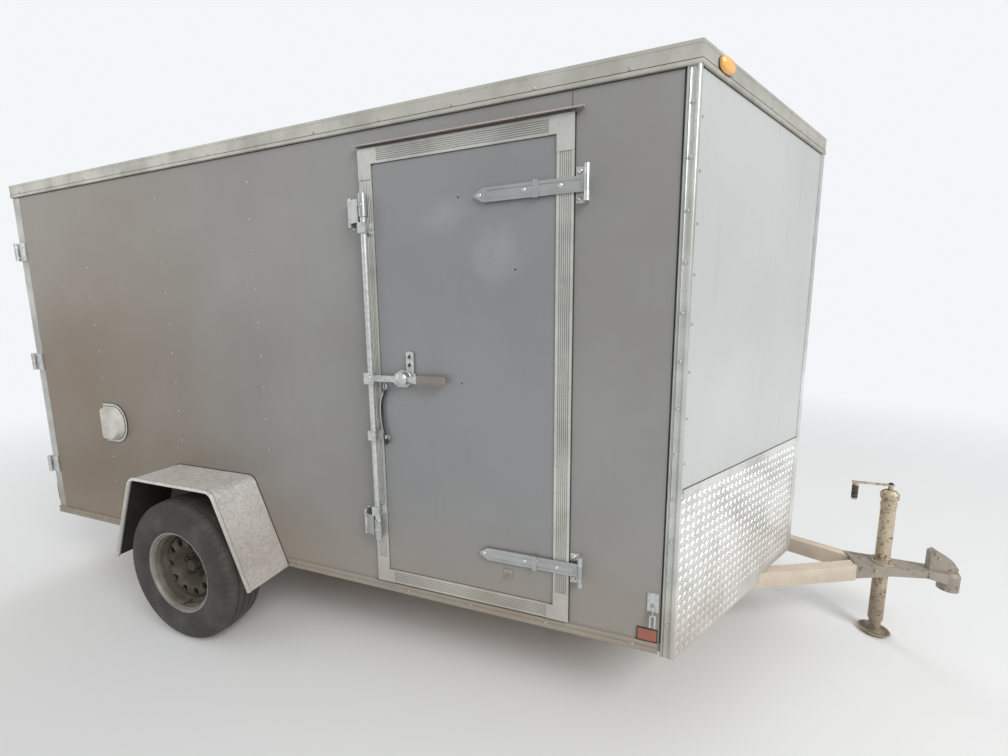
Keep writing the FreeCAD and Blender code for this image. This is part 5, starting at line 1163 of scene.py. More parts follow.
# %% Door seal and painted shadow
def outlined(lows, highs, width, out, thick):
    """Four ribbons centred on the edges of an upright rectangle on the curb side, given by (x, z)."""
    (x0, z0), (x1, z1) = lows, highs
    spare = width / 2
    ends = [((x0 - spare, z0), (x1 + spare, z0)), ((x0 - spare, z1), (x1 + spare, z1)),
            ((x0, z0), (x0, z1)), ((x1, z0), (x1, z1))]
    return merged(*(ribbon((a[0], -out, a[1]), (b[0], -out, b[1]), width, curb_out, thick)
                    for a, b in ends))


frame_low, frame_high = low("side_door_frame")[[0, 2]], high("side_door_frame")[[0, 2]]
inner_low, inner_high = frame_low + FRAME_WIDTH, frame_high - FRAME_WIDTH
# The outer ribbons are a painted shadow round the frame; the inner ones are the seal.
seal_and_shadow = merged(outlined(frame_low, frame_high, 0.006, half + 0.0004, 0.0042),
              outlined(inner_low, inner_high, 0.0026, skin_face, 0.0009))
piece("door_seal_and_shadow", seal_and_shadow, "sealant_and_shadow", "side_door")

# %% [markdown]
# The lock tube ends in collars with a round bolt through each, and its fingers turn into keepers on
# the wall. A keeper is a small plate with an upright bar in front of it, worn into three lengths.

# %% Collars and keepers
bar_line = (0.016, 0.978)
COLLAR_HALF = 0.044
keeper_levels = (base_z + 0.324, base_z + 1.616)


def collar(z):
    """A split ring round the lock tube with a bolt head in front."""
    edge = [(0.0130, COLLAR_HALF), (0.0158, COLLAR_HALF), (0.0168, COLLAR_HALF - 0.0015)]
    ring = lathe([(radius, -rise) for radius, rise in edge] + edge[::-1], 20)
    head = fixed_at(carriage_head(0.0098, 0.0055), (0, -0.0160, 0), curb_out)
    return placed(merged(ring, head), (bar_line[0], -bar_line[1], z))


def cam_face(z):
    """The curved plate over a finger: y moves out by a quarter of a sine wave along x."""
    share = np.linspace(0, 1, 8)
    across = -0.046 + 0.047 * share
    front = bar_line[1] + 0.0015 + 0.0110 * np.sin(share * np.pi / 2)
    plan = np.column_stack([np.r_[across, across[::-1]], -np.r_[front, front[::-1] - 0.003]])
    return placed(slab(plan, 2 * COLLAR_HALF), (0, 0, z - COLLAR_HALF))


def keeper(z):
    """A base plate with rounded corners, a cheek and the upright bar in three lengths."""
    corner = np.array([(math.cos(turn), math.sin(turn)) for turn in np.linspace(0, np.pi / 2, 4)])
    quarters = [corner, corner[::-1] * [-1, 1], -corner, corner[::-1] * [1, -1]]
    centres = [(1, 1), (-1, 1), (-1, -1), (1, -1)]
    outline = np.vstack([quarter * 0.006 + np.multiply(centre, (0.016, 0.052))
                         for quarter, centre in zip(quarters, centres)])
    base = placed(slab(outline, 0.005), (-0.042, -half, z), facing(curb_out))
    knuckle = lathe([(0.0060, -0.0185), (0.0078, -0.0168), (0.0080, 0.0), (0.0078, 0.0168),
                     (0.0060, 0.0185)], 14)
    bar = repeated(knuckle, points_at(-0.0545, -half - 0.0260, z + np.array([-1, 0, 1]) * 0.0378))
    cheek = block((-0.0580, -half - 0.022, -0.055), (-0.0510, -half - 0.004, 0.055))
    bolts = [(x, z + drop) for x in (-0.052, -0.032) for drop in (0.026, -0.026)]
    return merged(base, bar, placed(cheek, (0, 0, z)),
                  on_door(carriage_head(0.0045, 0.003, 10), bolts, half + 0.005))


collars = [collar(keeper_levels[0] - 0.020), collar(keeper_levels[1] + 0.020)]
piece("bar_collars", merged(*collars, *(cam_face(z) for z in keeper_levels)), "strap_metal",
      "side_door", bevel=0.0006)
piece("keeper_parts", merged(*(keeper(z) for z in keeper_levels)), "galvanised",
      stands_for=["lock_keepers"], bevel=0.0006)
guide_levels = (0.630 + 0.130, base_z + 0.720, 2.054 - 0.130)
guide_bolts = [(bar_line[0] + across, z) for z in guide_levels for across in (-0.0235, 0.0235)]
piece("guide_bolts", on_door(hex_head(0.0042, 0.004), guide_bolts, flange_face + 0.003),
      "bolt_metal", "side_door")

# %% [markdown]
# The handle swings up over a hasp. Its hub is a pressed dome with a ring groove, its end a rusty
# square bar with a folded lip, and a thin strap with a metal tip hangs from a ring beside it.

# %% The handle's parts
handle_z = base_z + 0.960
hub_x = 0.159
hasp_x = hub_x + 0.030
HUB_OUT, SEAT_OUT, BRACKET_OUT, LOOP_OUT, PENDANT_OUT = 0.9865, 0.9600, 0.9963, 0.9612, 0.9625
GRIP_END, GRIP_HALF = 0.3525, 0.0165


def ring(x, z, out, radius, thick, tilt=0.0):
    """A closed round wire that faces the curb, tipped about its upright diameter by an angle."""
    turn = np.linspace(0, 2 * np.pi, 24, endpoint=False)
    path = np.column_stack([x + radius * np.cos(turn) * math.cos(tilt),
                            -out - radius * np.cos(turn) * math.sin(tilt), z + radius * np.sin(turn)])
    return tube(path, thick, 8, closed=True)


hub = lathe([(0.0290, 0), (0.0290, 0.0030), (0.0275, 0.0046), (0.0245, 0.0046), (0.0235, 0.0036),
             (0.0220, 0.0048), (0.0165, 0.0088), (0.0090, 0.0110), (0.0030, 0.0116)], 32)
seat = lathe([(0.034, 0), (0.036, 0.0012), (0.034, 0.003)], 32)
bracket_bolt = on_door(hex_head(0.0085, 0.0058), [(0.022, handle_z + 0.004)], BRACKET_OUT)
loops = [ring(hasp_x, handle_z + 0.110 * share, LOOP_OUT, 0.0098, 0.0021) for share in (0.5, 0.8)]
gear = merged(on_door(hub, [(hub_x, handle_z)], HUB_OUT), on_door(seat, [(hub_x, handle_z)], SEAT_OUT),
              bracket_bolt, *loops)
piece("handle_gear", gear, "galvanised", "side_door")

grip_box = block((hub_x + 0.070, -0.9845, handle_z - GRIP_HALF),
                 (GRIP_END, -0.9715, handle_z + GRIP_HALF))
grip_lip = block((hub_x + 0.078, -0.9885, handle_z - 0.0200),
                 (GRIP_END - 0.0045, -0.9800, handle_z - 0.0150))
piece("handle_grip", merged(grip_box, grip_lip), "handle_grip", "side_door",
      bevel=0.0016)

strap_run = curve([(0.0715, 1.286), (0.052, 1.243), (0.0455, 1.200), (0.050, 1.130), (0.065, 1.072)], 6)
strap_path = on_curb(strap_run, PENDANT_OUT)
pendant = merged(tube(strap_path + [0.0035, 0, 0], 0.0046, 10),
                 block((0.0590, -0.9660, 1.052), (0.0730, -0.9590, 1.078)))
piece("pendant_strap", pendant, "lamp_base", "side_door", bevel=0.0008)
tip = merged(tube(strap_path[2:-3] - [0.0035, 0, 0], 0.0036, 8),
             ring(0.0720, 1.298, 0.9660, 0.0125, 0.0030, 0.5),
             ring(0.0760, 1.082, 0.9640, 0.0075, 0.0016, 0.3),
             block((0.0625, -0.9675, 1.076), (0.0705, -0.9600, 1.092)))
piece("pendant_tip", tip, "bolt_metal", "side_door", bevel=0.0005)

# %% [markdown]
# Small things on the wall: the two screws of the catch on the door, the bolts of the hook that holds
# the opened door, and the dark bezel round each reflector.

# %% Catch, hook and reflector bezel
catch_screws = on_door(screw_head(0.0038, 0.0022, 10), [(0.5845, 0.580), (0.6055, 0.580)],
                       skin_face + 0.0027)
piece("catch_screws", catch_screws, "screw_metal", "side_door")
hook_x = (low("hold_back_hook")[0] + high("hold_back_hook")[0]) / 2
hook_row = high("hold_back_hook")[2] - 0.010
hook_bolts = on_door(hex_head(0.0050, 0.0045), [(hook_x - 0.012, hook_row), (hook_x + 0.012, hook_row)],
                     half + 0.004)
piece("hook_bolts", hook_bolts, "bolt_metal")
mirror_low, mirror_high = low("side_reflectors")[[0, 2]], high("side_reflectors")[[0, 2]]
bezel = outlined(mirror_low + 0.0012, mirror_high - 0.0012, 0.0030, half + 0.0002, 0.0038)
bezels = merged(bezel, (bezel[0] * [1, -1, 1], bezel[1]))
piece("reflector_bezels", bezels, "lamp_base")

# %% [markdown]
# ## Wheels
# The steel wheel is a rolled barrel with a dished disc welded in it. Ten large round holes go
# through the disc. Cutting them with a Boolean would leave long thin faces, so the disc is computed
# in ten equal sectors: each one runs in rings from its own hole to the sector's four edges.

# %% The wheel's disc
HOLES, HOLE_RADIUS, HOLE_RING = 10, 0.0200, 0.1290
HOLE_DEPTH, HOLE_LIP = 0.009, 0.0012
DISH = np.array([(0.036, 0.0), (0.074, 0.0), (0.084, 0.006), (0.096, 0.024), (0.106, 0.0365),
                 (0.116, 0.040), (0.142, 0.040), (0.150, 0.0365), (0.1605, 0.0215)])


def dish_height(radius):
    """How far out the disc's face lies at a distance from the axle."""
    return np.interp(radius, DISH[:, 0], DISH[:, 1])


def on_disc(radius, angle, drop=0.0):
    """Points of the disc's face: x = r cos a, y = r sin a, z = height at r, less a drop."""
    return np.stack([radius * np.cos(angle), radius * np.sin(angle), dish_height(radius) - drop], -1)


def wheel_disc():
    """Ten sectors round their holes, a ring of faces inside them and another one outside."""
    inner, outer, half_sector = 0.1065, 0.1515, np.pi / HOLES
    turn = np.arange(16) * np.pi / 8
    cosine, sine = np.cos(turn), np.sin(turn)
    reach = 1 / np.maximum(np.abs(cosine), np.abs(sine))
    middle, spread = (inner + outer) / 2, (outer - inner) / 2
    shapes = []
    for index in range(HOLES):
        centre = 2 * half_sector * index
        edge_radius = middle + spread * cosine * reach
        edge_angle = centre + half_sector * sine * reach
        hole_x = HOLE_RING + HOLE_RADIUS * cosine
        hole_y = HOLE_RADIUS * sine
        hole_radius, hole_angle = np.hypot(hole_x, hole_y), centre + np.arctan2(hole_y, hole_x)
        rows = [on_disc(hole_radius, hole_angle, drop) for drop in (HOLE_DEPTH, 0.0015)]
        rows.append(on_disc(hole_radius + HOLE_LIP * cosine, hole_angle, -HOLE_LIP))
        for share in (0.14, 0.5, 1.0):
            rows.append(on_disc(hole_radius + (edge_radius - hole_radius) * share,
                                hole_angle + (edge_angle - hole_angle) * share))
        shapes.append(lattice(np.array(rows), wrap_v=True))
    steps = np.array([-1, -math.tan(np.pi / 8), 0, math.tan(np.pi / 8)]) * half_sector
    around = (2 * half_sector * np.arange(HOLES)[:, None] + steps).ravel()
    for radii in ([0.036, 0.056, 0.074, 0.079, 0.084, 0.090, 0.096, inner],
                  [outer, 0.156, 0.1605, 0.1625]):
        grid = np.stack([on_disc(np.full(len(around), radius), around) for radius in radii])
        shapes.append(lattice(grid, wrap_v=True))
    return merged(*shapes)


# %% [markdown]
# The barrel's lip has a rolled edge and two steps inside it, which show as pale rings outside the dark
# film of mud and painted shade. Five nuts hold the wheel, and the valve sticks out through the barrel.

# %% Barrel, nuts and valve
BARREL = [(0.2076, 0.0862), (0.2050, 0.0879), (0.2005, 0.0872), (0.1975, 0.0838), (0.1962, 0.0790),
          (0.1945, 0.0762), (0.1900, 0.0752), (0.1876, 0.0735), (0.1868, 0.0640), (0.1850, 0.0575),
          (0.1815, 0.0560), (0.1795, 0.0535), (0.1785, 0.0480), (0.1740, 0.0420), (0.1650, 0.0330),
          (0.1612, 0.0270), (0.1605, 0.0)]
BARREL_THICK, LIP_CLOSER = 0.003, 0.0026
NUTS, NUT_RING, NUT_TURN = 5, 0.0572, 0.3


def wheel_barrel():
    """The section inside the wheel and, 3 mm further out, its back, turned as one closed loop."""
    face = np.array(BARREL)
    whole = np.vstack([face, face[-2::-1] * [1, -1]])
    back = whole[::-1] + [BARREL_THICK, 0]
    back[:3, 0] -= LIP_CLOSER
    back[-3:, 0] -= LIP_CLOSER
    return lathe(np.vstack([whole, back, whole[:1]]), 72, capped=False)


def wheel_shell(side):
    """The barrel and the disc, set on the axle and facing outwards."""
    return placed(merged(wheel_barrel(), wheel_disc()), axle[side], facing((0, side, 0)))


def wheel_nuts(side):
    """Five nuts with a cone on each, studs showing, and the valve near the barrel's edge."""
    angle = np.arange(NUTS) * 2 * np.pi / NUTS + NUT_TURN
    nut = merged(lathe([(0.0120, -0.001), (0.0120, 0.0150), (0.0098, 0.0185)], 6),
                 lathe([(0.0060, 0.0180), (0.0060, 0.0235), (0.0050, 0.0245)], 12))
    valve = lathe([(0.0062, 0), (0.0055, 0.012), (0.0042, 0.014), (0.0042, 0.036), (0.0030, 0.0375)],
                  12)
    nuts = repeated(nut, points_at(NUT_RING * np.cos(angle), NUT_RING * np.sin(angle), 0))
    return placed(merged(nuts, placed(valve, (0.0, -0.172, 0.040))), axle[side], facing((0, side, 0)))


pair(("wheel_shell", wheel_shell, "wheel_paint", "wheel_paint", "rim_"),
     ("wheel_nuts", wheel_nuts, "hub_metal", "hub_steel"), body="wheel_", merge=0.00002)


# %% [markdown]
# ## Fenders
# The edge of each fender is rolled round a thick wire, which is its brightest line. Under it the
# sheet is nearly black, with old road dirt and painted shade, and a thin dark joint shows where it meets
# the wall.

# %% Rolled edge, lining and joint
FENDER_FOOT, FENDER_BEND = 0.465, 0.281
BEND_REACH = 0.056


def fender_line(depth):
    """The fender's bent outline in x and z, moved in by a depth. Each bend is the curve
    (1 - t)^2 a + 2 t (1 - t) b + t^2 c about its corner b."""
    middle = (fender_low[0] + fender_high[0]) / 2
    top, foot = base_z + 0.442, base_z - 0.003
    slant = math.hypot(FENDER_FOOT - FENDER_BEND, top - foot)
    lean = (slant - (FENDER_FOOT - FENDER_BEND)) / (top - foot)
    foot_x, bend_x = FENDER_FOOT - depth * slant / (top - foot), FENDER_BEND - depth * lean
    corners = np.array([(-foot_x, foot), (-bend_x, top - depth), (bend_x, top - depth), (foot_x, foot)])
    t = np.linspace(0, 1, 7)[:, None]
    run = [corners[:1]]
    for before, corner, after in zip(corners, corners[1:], corners[2:]):
        start, end = (corner + (other - corner) / np.linalg.norm(other - corner)
                      * ((BEND_REACH - depth) * 0.6) for other in (before, after))
        run.append((1 - t) ** 2 * start + 2 * t * (1 - t) * corner + t ** 2 * end)
    return np.vstack([*run, corners[-1:]]) + [middle, 0]


def along_fender(line, out, side):
    """Turn the outline's (x, z) pairs into points at a distance out from the middle."""
    return points_at(line[:, 0], side * out, line[:, 1])


def fender_lining(side):
    """A thin near-black sheet just under the fender's own, from the wall to the rolled edge: road dirt
    and painted shade.
    """
    return lattice(np.stack([along_fender(fender_line(0.0045), out, side)
                             for out in np.linspace(half + 0.002, 1.146, 6)]))


def fender_edge(side):
    return tube(along_fender(fender_line(0.0050), 1.1530, side), 0.0086, 12)


def fender_joint(side):
    return tube(along_fender(fender_line(-0.0010), half + 0.0015, side), 0.0019, 6)


pair(("fender_edge", fender_edge, "lip_metal", "fender_sheet"),
     ("fender_lining", fender_lining, "undercoat_and_shade", None),
     ("fender_joint", fender_joint, "sealant_and_shadow", None))

# %% [markdown]
# ## Tongue, coupler and jack
# The tongue is welded from square tube, so its joints are beads of weld rather than seams. A bead is
# a row of overlapping ripples: a tube along the joint whose radius swings, r + s cos(k t).

# %% Welds, bolts and the jack's gear
WELD_RADIUS, RIPPLE, RIPPLE_PITCH = 0.0042, 0.0009, 0.0044
coupler_back = low("coupler")[0]
jack_x = (low("jack_leg")[0] + high("jack_leg")[0]) / 2
plate_top = base_z + 0.005


def weld(start, end):
    """A rippled bead from one point to another."""
    start, end = np.asarray(start, float), np.asarray(end, float)
    length = np.linalg.norm(end - start)
    share = np.linspace(0, 1, max(6, int(2 * length / RIPPLE_PITCH)))
    path = start + share[:, None] * (end - start)
    path[:, 2] += 0.00001 * np.sin(share * 9)
    return tube(path, WELD_RADIUS + RIPPLE * np.cos(share * length / RIPPLE_PITCH * 2 * np.pi), 8)


def round_jack(radius, turns, z):
    """Points at a distance from the jack's axis, at these turns about it and at one height."""
    return points_at(jack_x + radius * np.cos(turns), radius * np.sin(turns), z)


welds = []
for side in SIDES.values():
    welds.append(weld((coupler_back - 0.001, side * 0.022, base_z + 0.001),
                      (coupler_back - 0.001, side * 0.058, base_z + 0.001)))
    welds.append(weld((coupler_back, side * 0.0635, base_z - 0.070),
                      (coupler_back + 0.001, side * 0.0635, base_z - 0.004)))
around = np.linspace(0, 2 * np.pi, 60, endpoint=False)
welds.append(tube(round_jack(0.0300, around, plate_top + 0.009), 0.0032 + 0.0007 * np.cos(around * 20),
                  8, closed=True))
piece("welds", merged(*welds), "coupler_metal")

coupler_bolt = hex_head(0.0072, 0.0065)
side_bolts = [fixed_at(coupler_bolt, (along, side * out, base_z - 0.020), (0, side, 0))
              for side in SIDES.values() for along, out in ((2.112, 0.0584), (2.168, 0.0548))]
top_places = round_jack(0.038, np.array([np.pi / 3, np.pi, 5 * np.pi / 3]), plate_top + 0.008)
top_set = repeated(hex_head(0.0070, 0.0060), top_places)
pin = tube([(2.418, -0.0235, 0.442), (2.418, 0.0, 0.442001), (2.418, 0.0235, 0.442)], 0.0048, 12)
piece("tongue_bolts", merged(top_set, pin, *side_bolts), "jack_metal")

cap_low = base_z + 0.330
cap_places = round_jack(0.0343, np.array([-2.2, -0.9, 0.9, 2.2]), cap_low + 0.012)
heads = [fixed_at(screw_head(0.0042, 0.0026, 10), [place], (place[0] - jack_x, place[1], 0) /
                  np.hypot(place[0] - jack_x, place[1])) for place in cap_places]
band = placed(lathe([(0.0285, -0.010), (0.0305, -0.009), (0.0305, 0.009), (0.0285, 0.010)], 32),
              (jack_x, 0, cap_low - 0.030))
foot_weld = placed(lathe([(0.0230, 0.004), (0.0290, 0.008), (0.0265, 0.013), (0.0230, 0.017)], 24),
                   (jack_x, 0, 0))
piece("jack_gear", merged(band, foot_weld, *heads), "jack_metal")

grip_x, arm_z = jack_x - 0.138, base_z + 0.392
grip_steps = np.linspace(0, 1, 25)
grip_radius = 0.0126 + 0.0006 * np.cos(grip_steps * 2 * np.pi * 6) - 0.002 * (2 * grip_steps - 1) ** 8
grip = placed(lathe(np.column_stack([grip_radius, grip_steps * 0.078]), 20), (grip_x, 0, arm_z - 0.082))
cap_nut = placed(hex_head(0.0085, 0.007), (jack_x, 0, arm_z + 0.008))
piece("crank_grip", merged(grip, cap_nut), "lamp_base")

# %% [markdown]
# ## Side vents
# A vent is a pale plastic hood, square behind and round in front, on a flange. Dark sealant squeezes
# out round it, a painted shadow line runs at the hood's foot, and its front edge is a bright rounded
# ridge. All of these follow the same outline, moved in by different distances.

# %% Outline of a vent and what follows it
HOOD_FACE = 0.0345


def vent_outline(inset):
    """Points (x, z) round the hood: four corners, each an arc of its own radius."""
    back, front = vent_low[0] + inset, vent_high[0] - inset
    bottom, top = vent_low[2] + inset, vent_high[2] - inset
    small, large = 0.006 + inset / 4, 0.103 - inset
    corners = [(back, bottom, small, np.pi), (front, bottom, large, 1.5 * np.pi), (front, top, large, 0),
               (back, top, small, 0.5 * np.pi)]
    run = []
    for x, z, radius, start in corners:
        turn = start + np.linspace(0, np.pi / 2, 8)
        centre = np.array([x - radius if x == front else x + radius,
                           z - radius if z == top else z + radius])
        run.append(centre + radius * np.column_stack([np.cos(turn), np.sin(turn)]))
    return np.vstack(run)


def round_vent(side, *wires):
    """Thin round wires along the outline, each given by its inset, distance out and radius."""
    return merged(*(tube(along_fender(vent_outline(inset), half + out, side), radius, 8, closed=True)
                    for inset, out, radius in wires))


def vent_seal_and_shadow(side):
    # The outer wire is sealant; the inner one, at the hood's foot, is a painted shadow.
    return round_vent(side, (0.0002, 0.0012, 0.0024), (0.0158, 0.0042, 0.0015))


def vent_ridge(side):
    """The bright ridge, and short raised slats on the rear part of the hood's face."""
    levels = np.linspace(vent_low[2] + 0.050, vent_high[2] - 0.040, 9)
    slats = [ribbon(*((vent_low[0] + along, side * (half + HOOD_FACE), z) for along in (0.034, 0.092)),
                    0.0042, (0, side, 0), 0.0012) for z in levels]
    return merged(round_vent(side, (0.0292, 0.0332, 0.0022)), merged(*slats))


def vent_screws(side):
    """Seven screws along the flange."""
    line = vent_outline(0.0080)
    places = np.vstack([line[[3, 9, 13, 18, 22, 28]], (line[0] + line[-1]) / 2])
    return fixed_at(screw_head(0.0040, 0.0022, 10), along_fender(places, half + 0.0038, side),
                    (0, side, 0))


pair(("vent_seal_and_shadow", vent_seal_and_shadow, "sealant_and_shadow", None),
     ("vent_ridge", vent_ridge, "white_plastic_and_shade", "vent_plastic"),
     ("vent_screws", vent_screws, "screw_metal", "zinc"))

# %% [markdown]
# ## The rear end
# The photo doesn't show the rear, so it is dressed as such trailers are: bolts through the straps,
# screws along the doors' edging, black gaskets in the gaps and a grommet round each tail lamp.

# %% Rear doors
back_out = (-1, 0, 0)
EDGING_WIDE, EDGING_IN, EDGING_THICK = 0.045, 0.023, 0.0012
STRAP_HOLES = np.array([0.775, 0.808, 0.841])
BAR_ACROSS, PAD_HALF = 0.070, 0.0175
GASKET_NEAR, GASKET_FAR = 0.0005, 0.0058
door_top, door_bottom = high("rear_door_curb")[2], low("rear_door_curb")[2]
door_edge, door_meet = -low("rear_door_curb")[1], -high("rear_door_curb")[1]
rear_levels = door_bottom - 0.007 + (door_top - door_bottom + 0.014) * np.array([0.14, 0.5, 0.86])
guide_rows = np.array([0.424 + 0.160, base_z + 1.150, 2.274 - 0.160])


def on_rear(across, level, out):
    """Points on the rear end from distances across and heights, that far behind the frame's face."""
    return points_at(rear_x - out, across, level)


def rear_edging(side):
    """Four flat trims on the rim of one leaf, each reaching its corners."""
    near, far = side * (door_meet + EDGING_IN), side * (door_edge - EDGING_IN)
    start, end = near + side * 0.0226, far - side * 0.0226
    bottom, top = door_bottom + EDGING_IN, door_top - EDGING_IN
    ends = [((near, door_bottom), (near, door_top)), ((far, door_bottom), (far, door_top)),
            ((start, bottom), (end, bottom)), ((start, top), (end, top))]
    return merged(*(ribbon((rear_x, *a), (rear_x, *b), EDGING_WIDE, back_out, EDGING_THICK)
                    for a, b in ends))


def rear_screws(side):
    """Screws down both stiles of one leaf's edging and along its rails, clear of the straps."""
    levels = np.arange(door_bottom + 0.06, door_top - 0.02, FOOT / 2)
    across = np.arange(door_meet + 0.16, door_edge - 0.06, FOOT / 2)
    rows = np.vstack([on_rear(side * stile, levels, EDGING_THICK)
                      for stile in (door_meet + 0.012, door_edge - 0.012)]
                     + [on_rear(side * across, rail, EDGING_THICK)
                        for rail in (door_bottom + 0.012, door_top - 0.012)])
    clear = (np.abs(rows[:, 2][:, None] - rear_levels) > 0.030).all(1) | (np.abs(rows[:, 1]) < 0.74)
    return fixed_at(wall_screw, rows[clear], back_out)


def rear_bolts(side):
    """Three bolts through each strap, and two in every guide of the lock bar."""
    across, level = np.meshgrid(STRAP_HOLES, rear_levels)
    strap_places = on_rear(side * across, level, 0.0100)
    pads = [on_rear(side * (BAR_ACROSS + shift), guide_rows, 0.0300) for shift in (-PAD_HALF, PAD_HALF)]
    return merged(fixed_at(carriage_head(0.0080, 0.0042), strap_places, back_out),
                  fixed_at(hex_head(0.0040, 0.0036), np.vstack(pads), back_out))


def rear_gasket(side):
    """Rubber in the gaps beside, over and under one leaf; the curb leaf has the middle gap's."""
    spans = [(side * (door_edge + GASKET_NEAR), side * (door_edge + GASKET_FAR), door_bottom, door_top)]
    for level, shift in ((door_top, 1), (door_bottom, -1)):
        z0, z1 = sorted((level + shift * GASKET_NEAR, level + shift * GASKET_FAR))
        spans.append((side * (door_meet + 0.001), side * door_edge, z0, z1))
    if side < 0:
        spans.append((GASKET_NEAR - door_meet, door_meet - GASKET_NEAR, door_bottom, door_top))
    return merged(*(block((rear_x + 0.003, min(y0, y1), z0), (rear_x + 0.020, max(y0, y1), z1))
                    for y0, y1, z0, z1 in spans))


pair(("rear_edging", rear_edging, "trim_tall", "trim"),
     ("rear_screws", rear_screws, "screw_metal", "zinc"),
     ("rear_bolts", rear_bolts, "bolt_metal", "zinc"),
     ("rear_gasket", rear_gasket, "sealant_and_shadow", None), body="rear_door_")

# %% [markdown]
# The rear frame is screwed on down both posts and along its header, and the lamps sit in grommets.
# A lamp's outline is a stadium, two half circles joined by straight lines.

# %% Rear frame and tail lamps
LAMP_LONG, LAMP_TALL = 0.1505, 0.0585
lamp_low, lamp_high = low("tail_lamps"), high("tail_lamps")
lamp_across, lamp_level = lamp_high[1] - 0.029, (lamp_low[2] + lamp_high[2]) / 2
radius, reach = LAMP_TALL / 2, (LAMP_LONG - LAMP_TALL) / 2
turn = np.linspace(-np.pi / 2, np.pi / 2, 10)
cap = radius * np.column_stack([np.sin(turn), np.cos(turn)]) + [0, reach]
stadium = np.vstack([cap, -cap])
grommets = [tube(on_rear(side * lamp_across + stadium[:, 0], lamp_level + stadium[:, 1], 0.0020),
                 0.0030, 8, closed=True) for side in SIDES.values()]
piece("lamp_grommets", merged(*grommets), "lamp_base")
levels = np.arange(base_z + 0.30, roof_trim_z - 0.05, FOOT)
levels = levels[(np.abs(levels[:, None] - rear_levels) > 0.08).all(1)]
across = np.arange(-0.80, 0.81, FOOT)
post_rows = np.vstack([on_rear(side * (half - 0.030), levels, 0) for side in SIDES.values()]
                      + [on_rear(across, roof_trim_z + 0.012, 0)])
piece("rear_frame_screws", fixed_at(trim_screw, post_rows, back_out), "screw_metal")
leaf_levels = (rear_levels[:, None] + (-0.030, 0.030)).ravel()
leaf_heads = [fixed_at(leaf_bolt, points_at(rear_x + 0.036, side * (half + 0.005), leaf_levels),
                       (0, side, 0)) for side in SIDES.values()]
piece("rear_leaf_bolts", merged(*leaf_heads), "bolt_metal")

# %% [markdown]
# ## Roof
# The roof sheet is one piece that lies on bows two feet apart. Each bow telegraphs through as a low
# ridge, and a bead of sealant follows the trim along both sides and the nose.

# %% Roof bows and sealant
BOW_WIDE, BOW_RISE = 0.050, 0.0012
roof_top = high("roof_panel")[2]
bow_places = np.arange(rear_x + 0.35, front_x + 0.1, STUD_PITCH)
rise, across = half_round(BOW_WIDE, BOW_RISE, 7)[::-1].T
bows = [lattice(np.stack([points_at(place + across - BOW_WIDE / 2, y, roof_top + rise)
                          for y in (-half + 0.045, half - 0.045)]), wrap_v=True)
        for place in bow_places]
piece("roof_bows", merged(*bows), "roof_metal")
piece("roof_sealant", tube(body_edge(-0.034, roof_top - 0.0014), 0.0028, 8), "sealant_and_shadow")

# %% [markdown]
# ## Floor, light and camera
# The trailer stands on a plain pale floor under a plain pale sky. The world lights it softly, one
# large lamp adds shape, and two weaker ones fill the rear and the far side. The camera stands where
# the photographer did: close to the curb side, with a very wide lens.

# %% Floor and light
FLOOR_SIZE = 60.0
PALE = (0.80, 0.80, 0.79)
SKY = (0.90, 0.92, 0.94)
SKY_LIGHT, SKY_STRENGTH = (0.93, 0.95, 0.97), 0.62
RAYS = ("Is Camera Ray", "Is Glossy Ray", "Is Transmission Ray")


def seen_by(tree, kinds):
    """1 where one of these kinds of ray looks, and 0 elsewhere."""
    rays = [add_node(tree, "ShaderNodeLightPath", output=kind) for kind in kinds]
    seen = rays[0]
    for ray in rays[1:]:
        seen = seen.most(ray)
    return seen


def floor_finish():
    """Pale paint that keeps the trailer's shadow near by and turns into the sky's colour far away,
    where the camera, a reflection or a view through glass looks at it."""
    work = Finish("floor_paint")
    work.surface(PALE, 0.9)
    away = (work.x * work.x + work.y * work.y).alone("SQRT").step(3.2, 9.5)
    glow = work.node("ShaderNodeEmission", values={"Color": SKY, "Strength": 1.0})
    plain_paint = Val(work.tree, work.shader.outputs[0])
    blend = work.node("ShaderNodeMixShader",
                      values={0: away * seen_by(work.tree, RAYS), 1: plain_paint, 2: glow})
    work.tree.links.new(blend.socket, work.tree.nodes["Material Output"].inputs["Surface"])
    return look["floor_paint"]


def stood(name, data, axes, place):
    """An object in the scene at a place, its x, y and z along three directions."""
    made = bpy.data.objects.new(name, data)
    turn = np.eye(4)
    turn[:3, :3] = np.column_stack(axes)
    turn[:3, 3] = place
    made.matrix_world = Matrix(turn.tolist())
    bpy.context.scene.collection.objects.link(made)
    return made


def area_lamp(name, place, target, size, power):
    """A square lamp of that size and power in watts, at a place and turned to face a target."""
    lamp = bpy.data.lights.new(name, "AREA")
    lamp.size = size
    lamp.energy = power
    back = np.asarray(place, float) - np.asarray(target, float)
    back /= np.linalg.norm(back)
    right = np.cross((0, 0, 1), back)
    right /= np.linalg.norm(right)
    stood(name, lamp, [right, np.cross(back, right), back], place)


corners = np.array([(-1, -1, 0), (1, -1, 0), (1, 1, 0), (-1, 1, 0)]) * FLOOR_SIZE / 2
floor_mesh = bpy.data.meshes.new("floor")
floor_mesh.from_pydata(corners.tolist(), [], [[0, 1, 2, 3]])
floor_mesh.materials.append(floor_finish())
floor = stood("floor", floor_mesh, np.eye(3), (0, 0, 0))

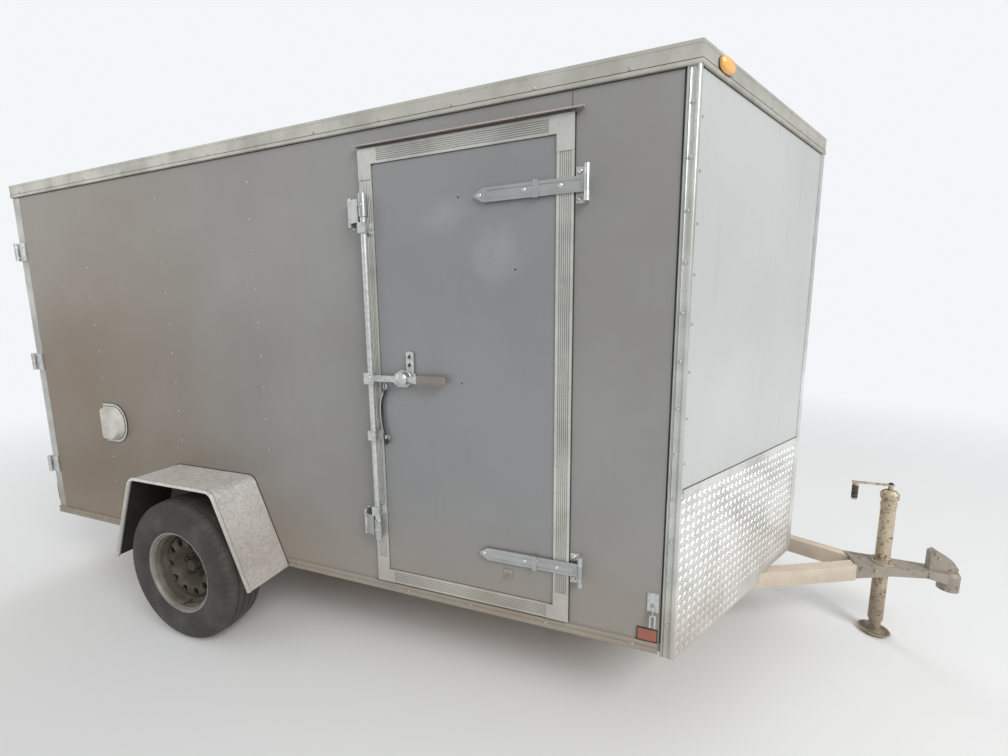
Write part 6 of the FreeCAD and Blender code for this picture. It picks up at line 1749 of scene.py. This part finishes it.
area_lamp("key", (7.5, -5.5, 7.5), (0.6, -0.6, 1.0), 5.0, 720)
area_lamp("fill", (-7.5, -5.0, 4.5), (-0.5, -0.5, 1.0), 6.0, 90)
area_lamp("back", (-4.0, 8.0, 6.0), (0.0, 0.5, 1.2), 6.0, 260)

world = bpy.data.worlds.new("sky")
bpy.context.scene.world = world
world.use_nodes = True
sky = world.node_tree
sky.nodes.clear()
lighting = add_node(sky, "ShaderNodeBackground", None, {"Color": SKY_LIGHT, "Strength": SKY_STRENGTH})
backdrop = add_node(sky, "ShaderNodeBackground", None, {"Color": SKY, "Strength": 1.0})
chosen = add_node(sky, "ShaderNodeMixShader", None,
                  {0: seen_by(sky, (RAYS[0], RAYS[2])), 1: lighting, 2: backdrop})
sky.links.new(chosen.socket, sky.nodes.new("ShaderNodeOutputWorld").inputs["Surface"])
print("lamps:", len(bpy.data.lights))

# %% [markdown]
# The camera's place and turn come from fitting the photo's straight edges to the trailer's real
# sizes: it stood 1.4 m from the wall at eye height, turned a little to the rear and tipped down.

# %% Camera
SENSOR = 0.036
FOCAL_SHARE = 405.544 / 1008
BESIDE_CORNER = np.array([-0.1289, -1.4210, 1.1735])
YAW, PITCH, ROLL = -0.33279, -0.13096, -0.00770

eye = np.array([front_x, -half, base_z]) + BESIDE_CORNER
ahead = np.array([math.sin(YAW) * math.cos(PITCH), math.cos(YAW) * math.cos(PITCH), math.sin(PITCH)])
level = np.array([math.cos(YAW), -math.sin(YAW), 0.0])
upward = np.cross(level, ahead)
right = level * math.cos(ROLL) + upward * math.sin(ROLL)
top = upward * math.cos(ROLL) - level * math.sin(ROLL)
optics = bpy.data.cameras.new("camera")
optics.sensor_width = SENSOR * 1000
optics.lens = SENSOR * 1000 * FOCAL_SHARE
optics.clip_start = 0.05
optics.clip_end = 200.0
bpy.context.scene.camera = stood("camera", optics, [right, top, -ahead], eye)
bpy.context.scene.view_settings.view_transform = "Standard"
print(f"camera {eye.round(3).tolist()}, lens {optics.lens:.1f} mm")
